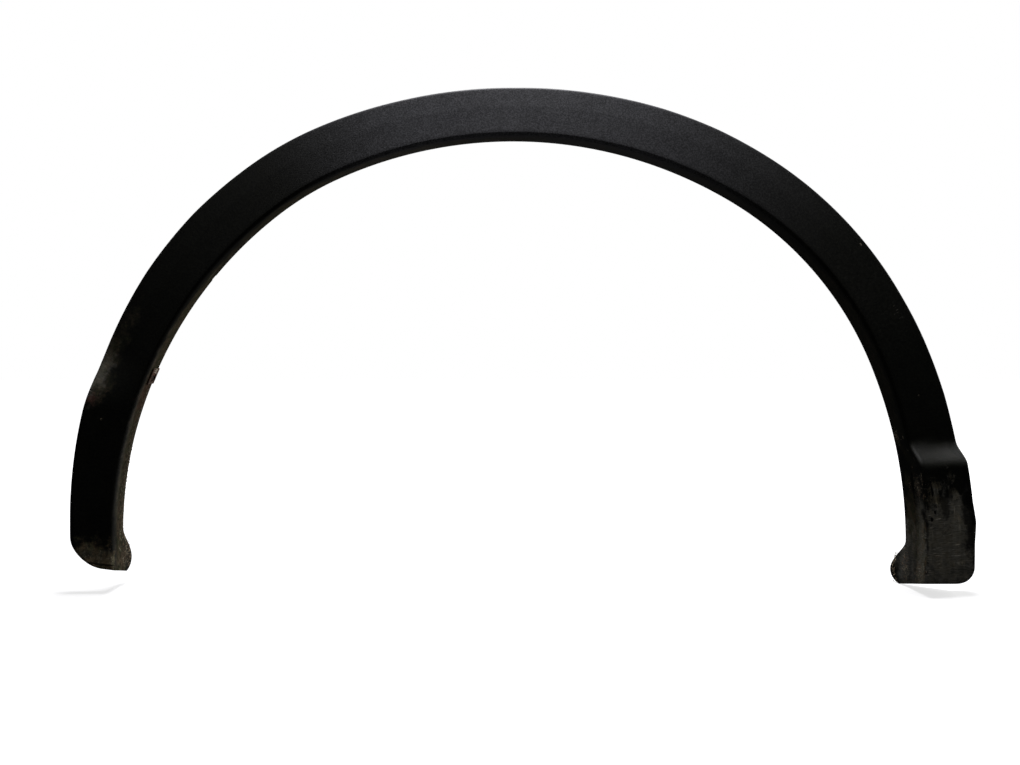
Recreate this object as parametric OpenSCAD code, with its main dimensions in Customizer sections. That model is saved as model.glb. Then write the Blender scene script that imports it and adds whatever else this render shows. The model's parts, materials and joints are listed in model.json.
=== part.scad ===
// Wheel arch trim: a thin moulded channel that bends round a wheel opening.
// Millimetres. X runs along the car, Z is up, and Y runs from the road side into the car.
// Origin: the centre of the wheel opening, in the plane of the body panel that the outer lip rests on.

/* [Arch line] */
// Distance from the origin to the wheel side of the right leg
right_reach = 404; // [380:1:430]
// Height at which the right leg starts to bend, below zero when under the origin
right_leg_top = -15; // [-30:1:0]
// Length of the straight right leg
right_leg = 33; // [26:1:40]
// Length of the straight left leg
left_leg = 33; // [28:1:40]
// Radius of the wheel side just above the right leg
right_leg_radius = 494; // [464:2:524]
// Radius of the wheel side at the right shoulder
right_shoulder_radius = 348; // [328:2:368]
// Radius of the wheel side at the crown
crown_radius = 438; // [418:2:458]
// Radius of the wheel side at the left shoulder
left_shoulder_radius = 300; // [280:5:330]
// Radius of the wheel side just above the left leg
left_leg_radius = 412; // [392:2:432]
// Angle turned by the bend above the right leg
right_leg_sweep = 22; // [18:1:26]
// Angle turned by the right shoulder
right_shoulder_sweep = 36.5; // [32:0.5:41]
// Angle turned by the crown
crown_sweep = 56; // [50:1:60]
// Angle turned by the left shoulder
left_shoulder_sweep = 12; // [8:1:18]

/* [Section] */
// Wall thickness of the moulding
wall = 2.8; // [2.4:0.1:3.2]
// Usual width of the face, measured square to the arch line
face_width = 50; // [46:1:54]
// How far the crest stands out from the body panel
crest_height = 18; // [16:0.5:20]
// How far the face falls back between its crest and its outer edge
face_fall = 14; // [12:0.5:15]
// How far the middle of the face bulges out
face_bow = 1.6; // [1:0.1:2.5]
// Place of the soft bend across the face, as a share of its width
bend_share = 0.6; // [0.5:0.05:0.65]
// Radius of the soft bend across the face
bend_radius = 90; // [60:5:110]
// Radius where the face turns into the flange
crest_radius = 4.6; // [4:0.1:5.5]
// Radius where the face turns into the outer lip
edge_radius = 4.8; // [4:0.1:5.5]
// Depth of the flange behind the body panel
flange_depth = 22; // [18:1:26]
// Length of the flange strip next to its back edge
flange_strip = 8; // [6:1:10]

/* [Stepped ends] */
// How far the right end stands out from the rest of the face
right_step = 20; // [14:1:22]
// Height at which the right step starts
right_step_top = 94; // [88:1:100]
// Height at which the right step is complete
right_step_foot = 72; // [66:1:80]
// How far the outer edge comes forward at the left end
left_step = 15; // [12:1:16]
// Height at which the left step starts
left_step_top = 186; // [176:1:196]
// Height at which the left step is complete
left_step_foot = 130; // [120:1:140]
// Share of the left step that the middle of the face takes
left_bend_share = 0.45; // [0.3:0.05:0.5]
// Radius of the outer corner at the bottom of the right end
right_corner = 17; // [12:1:20]
// Radius of the outer corner at the bottom of the left end
left_corner = 32; // [26:1:34]
// Radius where the face turns into the end walls
end_radius = 3.6; // [3:0.2:4.5]
// Slope of the end walls, as rise over depth
end_slope = 0.2; // [0.1:0.02:0.24]
// Rise of the left end wall towards its outer corner, as rise over width
left_end_rise = 0.13; // [0:0.01:0.16]
// Length over which the slope of the end walls fades out
slope_fade = 44; // [36:1:60]

/* [Flange ears] */
// How far the right ear reaches behind the flange
right_ear_reach = 26; // [16:1:30]
// How far the tip of the right ear leans to the wheel
right_ear_lean = 6; // [2:0.5:8]
// How far the left ear reaches behind the flange
left_ear_reach = 20; // [16:1:24]
// Place of the tip of each ear, as a share of its height
ear_tip = 0.36; // [0.3:0.02:0.42]
// Part of the reach that is rounded off at the bottom of each ear
ear_cut = 0.6; // [0.4:0.05:0.7]
// How far the tip of the left ear leans to the wheel
left_ear_lean = 3.5; // [0:0.5:5]
// Height of each ear along the arch line
ear_height = 37; // [32:1:42]
// Radius of the screw hole in the left ear
ear_hole_radius = 4.25; // [3.5:0.25:5]
// Height of the screw hole above the bottom of the left leg
ear_hole_rise = 21; // [17:0.5:24.5]
// Depth of the screw hole in the left ear behind the body panel
ear_hole_depth = 20; // [16:0.5:24]
// Length of the small notch in the back edge of the flange
notch_length = 6; // [4:0.5:8]
// Depth of that notch
notch_depth = 3; // [2:0.5:4]

/* [Clip houses and ribs] */
// Length of a clip house along the arch line
house_length = 22; // [20:1:26]
// Width of a clip house across the face
house_width = 20; // [19:0.5:21]
// Thickness of the walls of a clip house
house_wall = 1.8; // [1.5:0.1:2.2]
// Gap between the body panel and a clip house
house_gap = 2; // [1.6:0.2:2.6]
// Thickness of a stiffening rib
rib_wall = 1.6; // [1.4:0.1:2]
// Reach of a stiffening rib across the face, as a share of its width
rib_share = 0.42; // [0.3:0.02:0.5]
// Depth of a stiffening rib on the flange behind the body panel
rib_depth = 8; // [4:1:12]

/* [Push clips] */
// Radius of the neck of a clip
neck_radius = 3; // [2.6:0.1:3.4]
// Clearance between a neck and its slot
neck_clearance = 0.3; // [0.2:0.05:0.4]
// Radius of the head of a clip
head_radius = 6.8; // [6:0.1:7.2]
// Thickness of the head of a clip
head_thickness = 1.6; // [1.4:0.1:1.8]
// Radius of the barbs of a clip
barb_radius = 4.1; // [3.8:0.1:4.6]
// Radius of the core between the barbs
core_radius = 2.7; // [2.4:0.1:3]
// Distance from one barb to the next
barb_pitch = 2.8; // [2.4:0.1:3.2]

/* [Spring nut] */
// Length of the spring nut from its fold to its ends
nut_length = 24; // [20:1:26]
// Width of the spring nut along the arch line
nut_width = 17; // [14:1:19]
// Thickness of its sheet metal
nut_sheet = 1; // [0.8:0.1:1.2]
// Clearance between the spring nut and the flange
nut_clearance = 0.3; // [0.2:0.05:0.4]
// Radius of the thread of the spring nut
thread_radius = 2.1; // [1.9:0.1:2.4]
// Radius of the screw hole in the leg on the wheel side
leg_hole_radius = 3.6; // [3.2:0.1:4]
// Radius of the hole in the flange that the threaded collar sits in
flange_hole_radius = 4; // [3.6:0.1:4.4]
// How far the leg on the wheel side is pressed out round its hole
pad_height = 1.4; // [1:0.1:1.8]

/* [Hidden] */

// Face widths: place along the arch line, then width, both as shares
width_shares = [[0, 1.05], [0.03, 1.06], [0.044, 1.1], [0.058, 1.062], [0.085, 1.055], [0.11, 1.05],
    [0.13, 1.056], [0.2, 1.032], [0.27, 1.05], [0.365, 1.075], [0.402, 1.065], [0.45, 1.035], [0.506, 1.01],
    [0.582, 1.025], [0.64, 1.052], [0.7, 1.076], [0.74, 1.093], [0.79, 1.071], [0.83, 1.025],
    [0.864, 0.985], [0.89, 0.978], [0.93, 0.925], [0.966, 0.88], [1, 0.86]];
// Flange depths: place along the arch line, then depth, both as shares
flange_shares = [[0, 1.08], [0.03, 1], [0.1, 0.97], [0.15, 1], [0.7, 1], [0.78, 1.1], [0.85, 1.12],
    [0.9, 1.03], [1, 1]];
// Places of the clip houses along the arch line
house_shares = [0.05, 0.165, 0.275, 0.385, 0.495, 0.605, 0.715, 0.815, 0.945];
// Places of the ribs along the arch line
rib_shares = [0.022, 0.135, 0.2, 0.245, 0.305, 0.355, 0.415, 0.465, 0.525, 0.575, 0.635, 0.685, 0.745,
    0.785, 0.895, 0.92];
// Place of the notch along the arch line
notch_share = 0.766;
// Place of the spring nut along the arch line
nut_share = 0.8537;

radii = [right_leg_radius, right_shoulder_radius, crown_radius, left_shoulder_radius, left_leg_radius];
crown_from = right_leg_sweep + right_shoulder_sweep;
crown_to = crown_from + crown_sweep;
angles = [0, right_leg_sweep, crown_from, crown_to, crown_to + left_shoulder_sweep, 180];
function arc_length(i) = radii[i] * (angles[i + 1] - angles[i]) * PI / 180;
function arc_start(i) = i == 0 ? right_leg : arc_start(i - 1) + arc_length(i - 1);
function arc_centre(i) = i == 0 ? [right_reach - radii[0], right_leg_top]
    : arc_centre(i - 1) + (radii[i - 1] - radii[i]) * [cos(angles[i]), sin(angles[i])];
starts = [for (i = [0:5]) arc_start(i)];
centres = [for (i = [0:4]) arc_centre(i)];
line_length = starts[5] + left_leg;
left_end = centres[4] + radii[4] * [-1, 0];

// Angle of the outward direction at a distance along the arch line
function turn(s) = s <= starts[0] ? 0 : s >= starts[5] ? 180 : turn_in(s, arc_at(s));
function arc_at(s) = s < starts[1] ? 0 : s < starts[2] ? 1 : s < starts[3] ? 2 : s < starts[4] ? 3 : 4;
function turn_in(s, i) = angles[i] + (s - starts[i]) / radii[i] * 180 / PI;
// Point of the arch line, as [x, z]
function line_point(s) = s <= starts[0] ? [right_reach, right_leg_top + s - starts[0]]
    : s >= starts[5] ? left_end - [0, s - starts[5]]
    : centres[arc_at(s)] + radii[arc_at(s)] * [cos(turn(s)), sin(turn(s))];

// Soft ramp from 0 to 1
function ramp(v) = let (c = min(1, max(0, v))) c * c * (3 - 2 * c);
// Drop of a quarter circle of radius r at distance d from its end
function round_in(d, r) = d >= r ? 0 : r - sqrt(max(0, r * r - pow(r - max(0, d), 2)));
function share(s) = s / line_length;
function end_distance(s) = min(s, line_length - s);

// Steps of the face, as moves to the road side
function right_move(z, s) = s > line_length / 2 ? 0
    : right_step * ramp((right_step_top - z) / (right_step_top - right_step_foot));
function left_move(z, s) = s < line_length / 2 ? 0
    : left_step * ramp((left_step_top - z) / (left_step_top - left_step_foot));
// Outer width of the face at s for the skin that lies e inside the outer skin
function width(s, e) = face_width * lookup(share(s), width_shares) - e
    - (s < line_length / 2 ? round_in(s - e, right_corner - e)
        : round_in(line_length - s - e, left_corner - e));
// Outline of an ear by its distance from the end, as a share of its reach
function ear(d) = d > ear_height ? 0 : d < ear_height * ear_tip
    ? 1 - ear_cut * pow(1 - d / (ear_height * ear_tip), 2)
    : ramp((ear_height - d) / (ear_height * (1 - ear_tip)));
function ear_reach(s) = (s < line_length / 2 ? right_ear_reach : left_ear_reach) * ear(end_distance(s));
function ear_lean(s) = (s < line_length / 2 ? right_ear_lean : left_ear_lean) * ear(end_distance(s));
function flange_edge(s) = flange_depth * lookup(share(s), flange_shares);

// Corners of the outer skin before rounding, as [outward, depth]
function corners(s, w, z) = let (
        back = round_in(end_distance(s), end_radius),
        m = right_move(z, s),
        k = left_move(z, s),
        crest = -crest_height - m + back,
        bend = crest + face_fall * bend_share - face_bow - k * left_bend_share,
        edge = crest + face_fall - k)
    [[-ear_lean(s), flange_edge(s) + ear_reach(s)], [0, flange_depth - flange_strip], [0, crest],
     [w * bend_share, bend], [w, edge], [w, 0]];

function unit(v) = v / norm(v);
function inward(d) = [-d[1], d[0]];
// One corner moved inwards by e
function moved(a, b, c, e) = let (n1 = inward(unit(b - a)), n2 = inward(unit(c - b)))
    b + e * (n1 + n2) / (1 + n1 * n2);
// Points of a rounded corner
function rounded(a, b, c, r, n) = let (
        d1 = unit(b - a),
        d2 = unit(c - b),
        t = acos(min(1, max(-1, d1 * d2))),
        q = unit(d2 - d1 * cos(t)),
        start = b - d1 * r * tan(t / 2))
    [for (k = [0:n]) start + d1 * r * sin(t * k / n) + q * r * (1 - cos(t * k / n))];
// All corners of the skin that lies e inside the outer skin
function skin_corners(p, e) = [p[0] + [e, 0], p[1] + [e, 0], moved(p[1], p[2], p[3], e),
    moved(p[2], p[3], p[4], e), moved(p[3], p[4], p[5], e), p[5] - [e, 0]];
// Rounded skin, from the flange's back edge to the outer lip
function skin(p, e) = let (q = skin_corners(p, e))
    concat([q[0], q[1]], rounded(q[1], q[2], q[3], crest_radius - e, 4),
        rounded(q[2], q[3], q[4], bend_radius - e, 2),
        rounded(q[3], q[4], q[5], edge_radius - e, 5), [q[5]]);
ring = 17;

// Move along the arch line that slopes the end walls
function lean_down(s, n, y) = let (rise = end_slope * (y + crest_height))
    ramp((slope_fade - end_distance(s)) / slope_fade)
        * (s < line_length / 2 ? -rise : rise - left_end_rise * n);
// Turns a section point at s into a point of the part
function to_part(s, q) = let (a = turn(s), c = line_point(s), n = q[0], d = lean_down(s, n, q[1]))
    [c[0] + n * cos(a) - d * sin(a), q[1], c[1] + n * sin(a) + d * cos(a)];
// Height of a section point, by which the steps are placed
function height(s, n) = line_point(s)[1] + n * sin(turn(s));
// One row of the skin: each corner takes the steps at its own height
function row(s, s_skin, e) = let (
        w = width(s_skin, e) + e,
        mid = corners(s, w, height(s, w * bend_share)),
        inner = corners(s, w, height(s, 0)),
        outer = corners(s, w, height(s, w)),
        p = [inner[0], inner[1], inner[2], mid[3], outer[4], outer[5]])
    [for (q = skin(p, e)) to_part(s_skin, q)];

// Distances of the rows from the right end
right_rows = concat([for (k = [0:5]) right_corner * (1 - cos(90 * k / 5))],
    [for (k = [1:5]) right_corner + (ear_height * 1.2 - right_corner) * k / 5]);
step_low = right_leg + right_step_foot - right_leg_top - wall * 8;
step_high = right_leg + right_step_top - right_leg_top + wall * 3;
right_mid = [for (k = [1:4]) ear_height * 1.2 + (step_low - ear_height * 1.2) * k / 4];
step_rows = [for (k = [1:12]) step_low + (step_high - step_low) * k / 12];
left_low = line_length - left_leg - left_step_foot * 0.9;
left_high = line_length - left_leg - left_step_top * 1.15;
arch_rows = [for (k = [1:50]) step_high + (left_high - step_high) * k / 50];
kick_rows = [for (k = [1:10]) left_high + (left_low - left_high) * k / 10];
left_top = line_length - left_corner - slope_fade * 0.4;
left_mid = [for (k = [1:6]) left_low + (left_top - left_low) * k / 6];
left_rows = concat([for (k = [1:3]) left_top + slope_fade * 0.4 * k / 4],
    [for (k = [0:9]) line_length - left_corner * (1 - sin(90 * k / 9))]);
rows = concat(right_rows, right_mid, step_rows, arch_rows, kick_rows, left_mid, left_rows);
count = len(rows);
// The inner skin keeps clear of both end walls
function inner_row(i) = i == 0 ? wall : i == 1 ? wall * 1.15 : i == 2 ? wall * 1.5
    : i == count - 1 ? line_length - wall : i == count - 2 ? line_length - wall * 1.15
    : min(line_length - wall * (1.3 + 0.3 * (count - 1 - i)), max(wall * (1.3 + 0.3 * i), rows[i]));

module shell() {
    outer = [for (s = rows) each row(s, s, 0)];
    inner = [for (i = [0:count - 1]) each row(rows[i], inner_row(i), wall)];
    total = count * ring;
    last = (count - 1) * ring;
    polyhedron(points = concat(outer, inner), faces = concat(
        [for (i = [0:count - 2], j = [0:ring - 2], h = [0, 1])
            let (a = i * ring + j) h == 0 ? [a, a + ring, a + ring + 1] : [a, a + ring + 1, a + 1]],
        [for (i = [0:count - 2], j = [0:ring - 2], h = [0, 1])
            let (a = total + i * ring + j)
                h == 0 ? [a + ring + 1, a + ring, a] : [a + 1, a + ring + 1, a]],
        [for (i = [0:count - 2], h = [0, 1])
            let (a = i * ring) h == 0 ? [a + ring, a, a + total] : [a + ring, a + total, a + total + ring]],
        [for (i = [0:count - 2], h = [0, 1])
            let (a = i * ring + ring - 1)
                h == 0 ? [a, a + ring, a + total] : [a + ring, a + total + ring, a + total]],
        [for (j = [0:ring - 3]) [ring - 1, j, j + 1]],
        [for (j = [0:ring - 3]) [last + ring - 1, last + j + 1, last + j]],
        [for (j = [0:ring - 3]) [total + ring - 1, total + j + 1, total + j]],
        [for (j = [0:ring - 3]) [total + last + ring - 1, total + last + j, total + last + j + 1]],
        [[0, ring - 1, total], [ring - 1, total + ring - 1, total]],
        [[last + ring - 1, last, last + total], [last + ring - 1, last + total, last + total + ring - 1]]));
}

// Puts a child on the arch line with X outwards, Y into the car and Z along the line
module on_line(s) {
    c = line_point(s);
    translate([c[0], 0, c[1]])
        rotate([0, -turn(s), 0])
            children();
}

// Corners halfway through the wall, for parts that grow out of it
function middle(s) = let (w = width(s, 0))
    skin_corners(corners(s, w, height(s, w * bend_share)), wall / 2);
function house_start(s) = width(s, 0) * bend_share - house_width / 2;
// Depth of the middle of the wall behind the face, n outwards
function wall_depth(q, n) = n < q[3][0]
    ? q[2][1] + (q[3][1] - q[2][1]) * (n - q[2][0]) / (q[3][0] - q[2][0])
    : q[3][1] + (q[4][1] - q[3][1]) * (n - q[3][0]) / (q[4][0] - q[3][0]);

module clip_house(s) {
    q = middle(s);
    n0 = house_start(s);
    n1 = n0 + house_width;
    on_line(s) {
        translate([0, 0, -house_length / 2])
            linear_extrude(house_wall)
                polygon([[n0, wall_depth(q, n0)], q[3], [n1, wall_depth(q, n1)],
                    [n1, -house_gap], [n0, -house_gap]]);
        for (n = [n0, n1 - house_wall])
            translate([0, 0, -house_length / 2])
                linear_extrude(house_length)
                    polygon([[n, wall_depth(q, n)], [n + house_wall, wall_depth(q, n + house_wall)],
                        [n + house_wall, -house_gap], [n, -house_gap]]);
        difference() {
            translate([n0, -house_gap - house_wall, -house_length / 2])
                cube([house_width, house_wall, house_length]);
            translate([(n0 + n1) / 2, 0, 0])
                rotate([90, 0, 0])
                    cylinder(h = crest_height, r = neck_radius + neck_clearance, $fn = 32);
            translate([(n0 + n1) / 2 - neck_radius - neck_clearance, -house_gap - house_wall * 2, 0])
                cube([2 * (neck_radius + neck_clearance), house_wall * 3, house_length]);
        }
    }
}

module rib(s) {
    q = middle(s);
    n = width(s, 0) * rib_share;
    on_line(s)
        translate([0, 0, -rib_wall / 2])
            linear_extrude(rib_wall)
                polygon([q[2], [n, wall_depth(q, n)], [q[2][0], rib_depth]]);
}

module body() {
    color([0.06, 0.06, 0.065])
        difference() {
            union() {
                shell();
                for (h = house_shares)
                    clip_house(h * line_length);
                for (h = rib_shares)
                    rib(h * line_length);
            }
            translate([left_end[0], ear_hole_depth, left_end[1] - left_leg + ear_hole_rise])
                rotate([0, 90, 0])
                    cylinder(h = wall * 5, r = ear_hole_radius, center = true, $fn = 48);
            on_line(nut_share * line_length)
                translate([0, nut_hole_depth, 0])
                    rotate([0, 90, 0])
                        cylinder(h = wall * 5, r = flange_hole_radius, center = true, $fn = 48);
            on_line(notch_share * line_length)
                translate([-wall, flange_edge(notch_share * line_length) - notch_depth, -notch_length / 2])
                    cube([wall * 3, notch_depth * 2, notch_length]);
        }
}

nut_edge = flange_edge(nut_share * line_length);
nut_hole_depth = nut_edge - nut_length * 0.55;

// Side outline of the spring nut: a strip folded round the flange's back edge
module nut_strip() {
    near = -nut_clearance;
    far = wall + nut_clearance;
    fold = nut_edge + nut_clearance;
    front = fold - nut_length;
    bent = front - nut_sheet;
    short = front + nut_length * 0.1;
    polygon([[near - nut_sheet, front], [near - nut_sheet * 2.2, bent],
        [near - nut_sheet * 1.9, bent - nut_sheet], [near, front], [near, fold], [far, fold],
        [far, short], [far + nut_sheet, short], [far + nut_sheet, fold], [far, fold + nut_sheet],
        [near, fold + nut_sheet], [near - nut_sheet, fold]]);
}

module spring_nut() {
    far = wall + nut_clearance;
    color([0.34, 0.25, 0.18])
        on_line(nut_share * line_length)
            difference() {
                union() {
                    translate([0, 0, -nut_width / 2])
                        linear_extrude(nut_width)
                            nut_strip();
                    // Raised pad round the hole on the wheel side
                    translate([-nut_clearance - nut_sheet / 2, nut_hole_depth, 0])
                        rotate([0, -90, 0])
                            cylinder(h = pad_height + nut_sheet / 2, r1 = leg_hole_radius * 1.7,
                                r2 = leg_hole_radius * 1.4, $fn = 40);
                    // Threaded collar of the far leg, which reaches through the flange
                    translate([0, nut_hole_depth, 0])
                        rotate([0, 90, 0])
                            cylinder(h = far + nut_sheet / 2,
                                r = flange_hole_radius - nut_clearance, $fn = 40);
                }
                translate([-nut_sheet - pad_height * 2, nut_hole_depth, 0])
                    rotate([0, 90, 0])
                        cylinder(h = nut_sheet + pad_height * 2, r = leg_hole_radius, $fn = 48);
                translate([-nut_clearance, nut_hole_depth, 0])
                    rotate([0, 90, 0])
                        cylinder(h = far + nut_sheet * 3, r = thread_radius, $fn = 48);
            }
}

// Half outline of a push clip, turned about the depth axis
module clip_outline() {
    seat = -house_gap;
    under = seat - house_wall;
    first = head_thickness * 0.75;
    polygon(concat(
        [[0, under - head_thickness], [head_radius, under - head_thickness], [head_radius, under],
         [neck_radius, under], [neck_radius, seat], [head_radius * 0.85, seat],
         [head_radius, seat + house_gap * 0.75], [head_radius * 0.85, seat + house_gap],
         [core_radius, seat + house_gap]],
        [for (k = [0:3], h = [0, 1])
            let (y = first + barb_pitch * k, r = barb_radius * (1 - 0.06 * k))
            h == 0 ? [r, y + barb_pitch * 0.25] : [core_radius, y + barb_pitch]],
        [[core_radius * 0.55, first + barb_pitch * 4.8], [0, first + barb_pitch * 5]]));
}

module push_clips() {
    color([0.78, 0.78, 0.74])
        for (h = house_shares)
            on_line(h * line_length)
                translate([house_start(h * line_length) + house_width / 2, 0, 0])
                    rotate([-90, 0, 0])
                        rotate_extrude($fn = 40)
                            clip_outline();
}

body();
spring_nut();
push_clips();
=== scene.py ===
"""Looks of a wheel arch trim: a black moulded channel with clip houses, push clips and a rusty spring nut.

Sizes are in millimetres while a shape is worked out, and in metres once it is a mesh.
"""

import json
import logging
import math
from dataclasses import dataclass, field
from enum import Enum
from functools import cached_property
from typing import Any, Callable, Iterable, Sequence

import bmesh
import bpy
import numpy as np
from mathutils import Matrix, Vector

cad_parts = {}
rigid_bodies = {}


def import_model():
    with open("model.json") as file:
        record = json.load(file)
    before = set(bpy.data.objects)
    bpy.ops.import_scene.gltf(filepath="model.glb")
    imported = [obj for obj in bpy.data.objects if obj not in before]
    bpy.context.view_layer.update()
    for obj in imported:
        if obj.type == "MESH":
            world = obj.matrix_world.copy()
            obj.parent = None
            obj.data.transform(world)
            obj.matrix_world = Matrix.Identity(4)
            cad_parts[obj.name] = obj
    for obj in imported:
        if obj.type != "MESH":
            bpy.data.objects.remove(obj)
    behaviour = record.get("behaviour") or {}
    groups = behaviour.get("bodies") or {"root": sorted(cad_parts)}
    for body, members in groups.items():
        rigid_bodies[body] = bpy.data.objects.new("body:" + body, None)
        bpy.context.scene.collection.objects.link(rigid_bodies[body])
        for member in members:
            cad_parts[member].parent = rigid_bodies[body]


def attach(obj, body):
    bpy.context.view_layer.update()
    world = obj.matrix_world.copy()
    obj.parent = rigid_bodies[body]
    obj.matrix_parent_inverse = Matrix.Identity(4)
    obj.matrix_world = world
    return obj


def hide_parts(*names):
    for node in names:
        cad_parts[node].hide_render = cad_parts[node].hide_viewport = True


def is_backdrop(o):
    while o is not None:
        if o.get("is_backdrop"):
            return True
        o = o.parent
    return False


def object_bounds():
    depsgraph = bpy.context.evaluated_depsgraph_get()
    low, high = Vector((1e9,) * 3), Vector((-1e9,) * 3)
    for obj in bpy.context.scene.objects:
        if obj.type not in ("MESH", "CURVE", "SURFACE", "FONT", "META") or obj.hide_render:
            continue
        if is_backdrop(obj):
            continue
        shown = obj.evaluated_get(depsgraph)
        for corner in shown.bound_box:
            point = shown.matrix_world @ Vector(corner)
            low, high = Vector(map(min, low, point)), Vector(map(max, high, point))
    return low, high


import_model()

LOG = logging.getLogger("trim")
MM = 0.001
Point = tuple[float, float]
Colour = tuple[float, float, float]


class Slot(Enum):
    """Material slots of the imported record."""

    MOULDING = "moulding"
    NUT = "nut_metal"
    CLIP = "clip_plastic"


@dataclass(frozen=True)
class ArchLine:
    """The line that the inner side of the trim follows, counted from the bottom of the right end."""

    reach: float = 404.0
    leg_top: float = -15.0
    right_leg: float = 33.0
    left_leg: float = 33.0
    radii: tuple[float, ...] = (494.0, 348.0, 438.0, 300.0, 412.0)
    sweeps: tuple[float, ...] = (22.0, 36.5, 56.0, 12.0, 53.5)

    @cached_property
    def angles(self) -> list[float]:
        """Direction at the start of each bend and at the end of the last, in degrees."""
        return [sum(self.sweeps[:i]) for i in range(6)]

    @cached_property
    def starts(self) -> list[float]:
        """Distance along the line at which each bend starts, and the last one ends."""
        lengths = [math.radians(a) * r for a, r in zip(self.sweeps, self.radii)]
        return [self.right_leg + sum(lengths[:i]) for i in range(6)]

    @cached_property
    def centres(self) -> list[Point]:
        """Centre of each bend, as (x, z)."""
        out = [(self.reach - self.radii[0], self.leg_top)]
        for i in range(1, 5):
            a, step = math.radians(self.angles[i]), self.radii[i - 1] - self.radii[i]
            out.append((out[-1][0] + step * math.cos(a), out[-1][1] + step * math.sin(a)))
        return out

    @cached_property
    def length(self) -> float:
        """Whole length of the line."""
        return self.starts[5] + self.left_leg

    def turn(self, s: float) -> float:
        """Angle of the outward direction at distance s, in radians."""
        if s <= self.starts[0]:
            return 0.0
        if s >= self.starts[5]:
            return math.pi
        i = max(k for k in range(5) if s >= self.starts[k])
        return math.radians(self.angles[i]) + (s - self.starts[i]) / self.radii[i]

    def point(self, s: float) -> Point:
        """Point of the line at distance s, as (x, z)."""
        if s <= self.starts[0]:
            return self.reach, self.leg_top + s - self.starts[0]
        if s >= self.starts[5]:
            x, z = self.centres[4]
            return x - self.radii[4], z - (s - self.starts[5])
        i = max(k for k in range(5) if s >= self.starts[k])
        x, z = self.centres[i]
        return x + self.radii[i] * math.cos(self.turn(s)), z + self.radii[i] * math.sin(self.turn(s))

    def matrix(self, s: float) -> Matrix:
        """Place and turn at distance s: X points outwards, Y into the car and Z along the line."""
        x, z = self.point(s)
        turn = Matrix.Rotation(-self.turn(s), 4, "Y")
        return Matrix.Translation((x * MM, 0.0, z * MM)) @ turn


def soft_step(v: float) -> float:
    """A smooth ramp from 0 to 1."""
    c = min(1.0, max(0.0, v))
    return c * c * (3 - 2 * c)


def round_in(d: float, r: float) -> float:
    """How far a quarter circle of radius r has still to rise at distance d from its end."""
    return 0.0 if d >= r else r - math.sqrt(max(0.0, r * r - (r - max(0.0, d)) ** 2))


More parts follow.
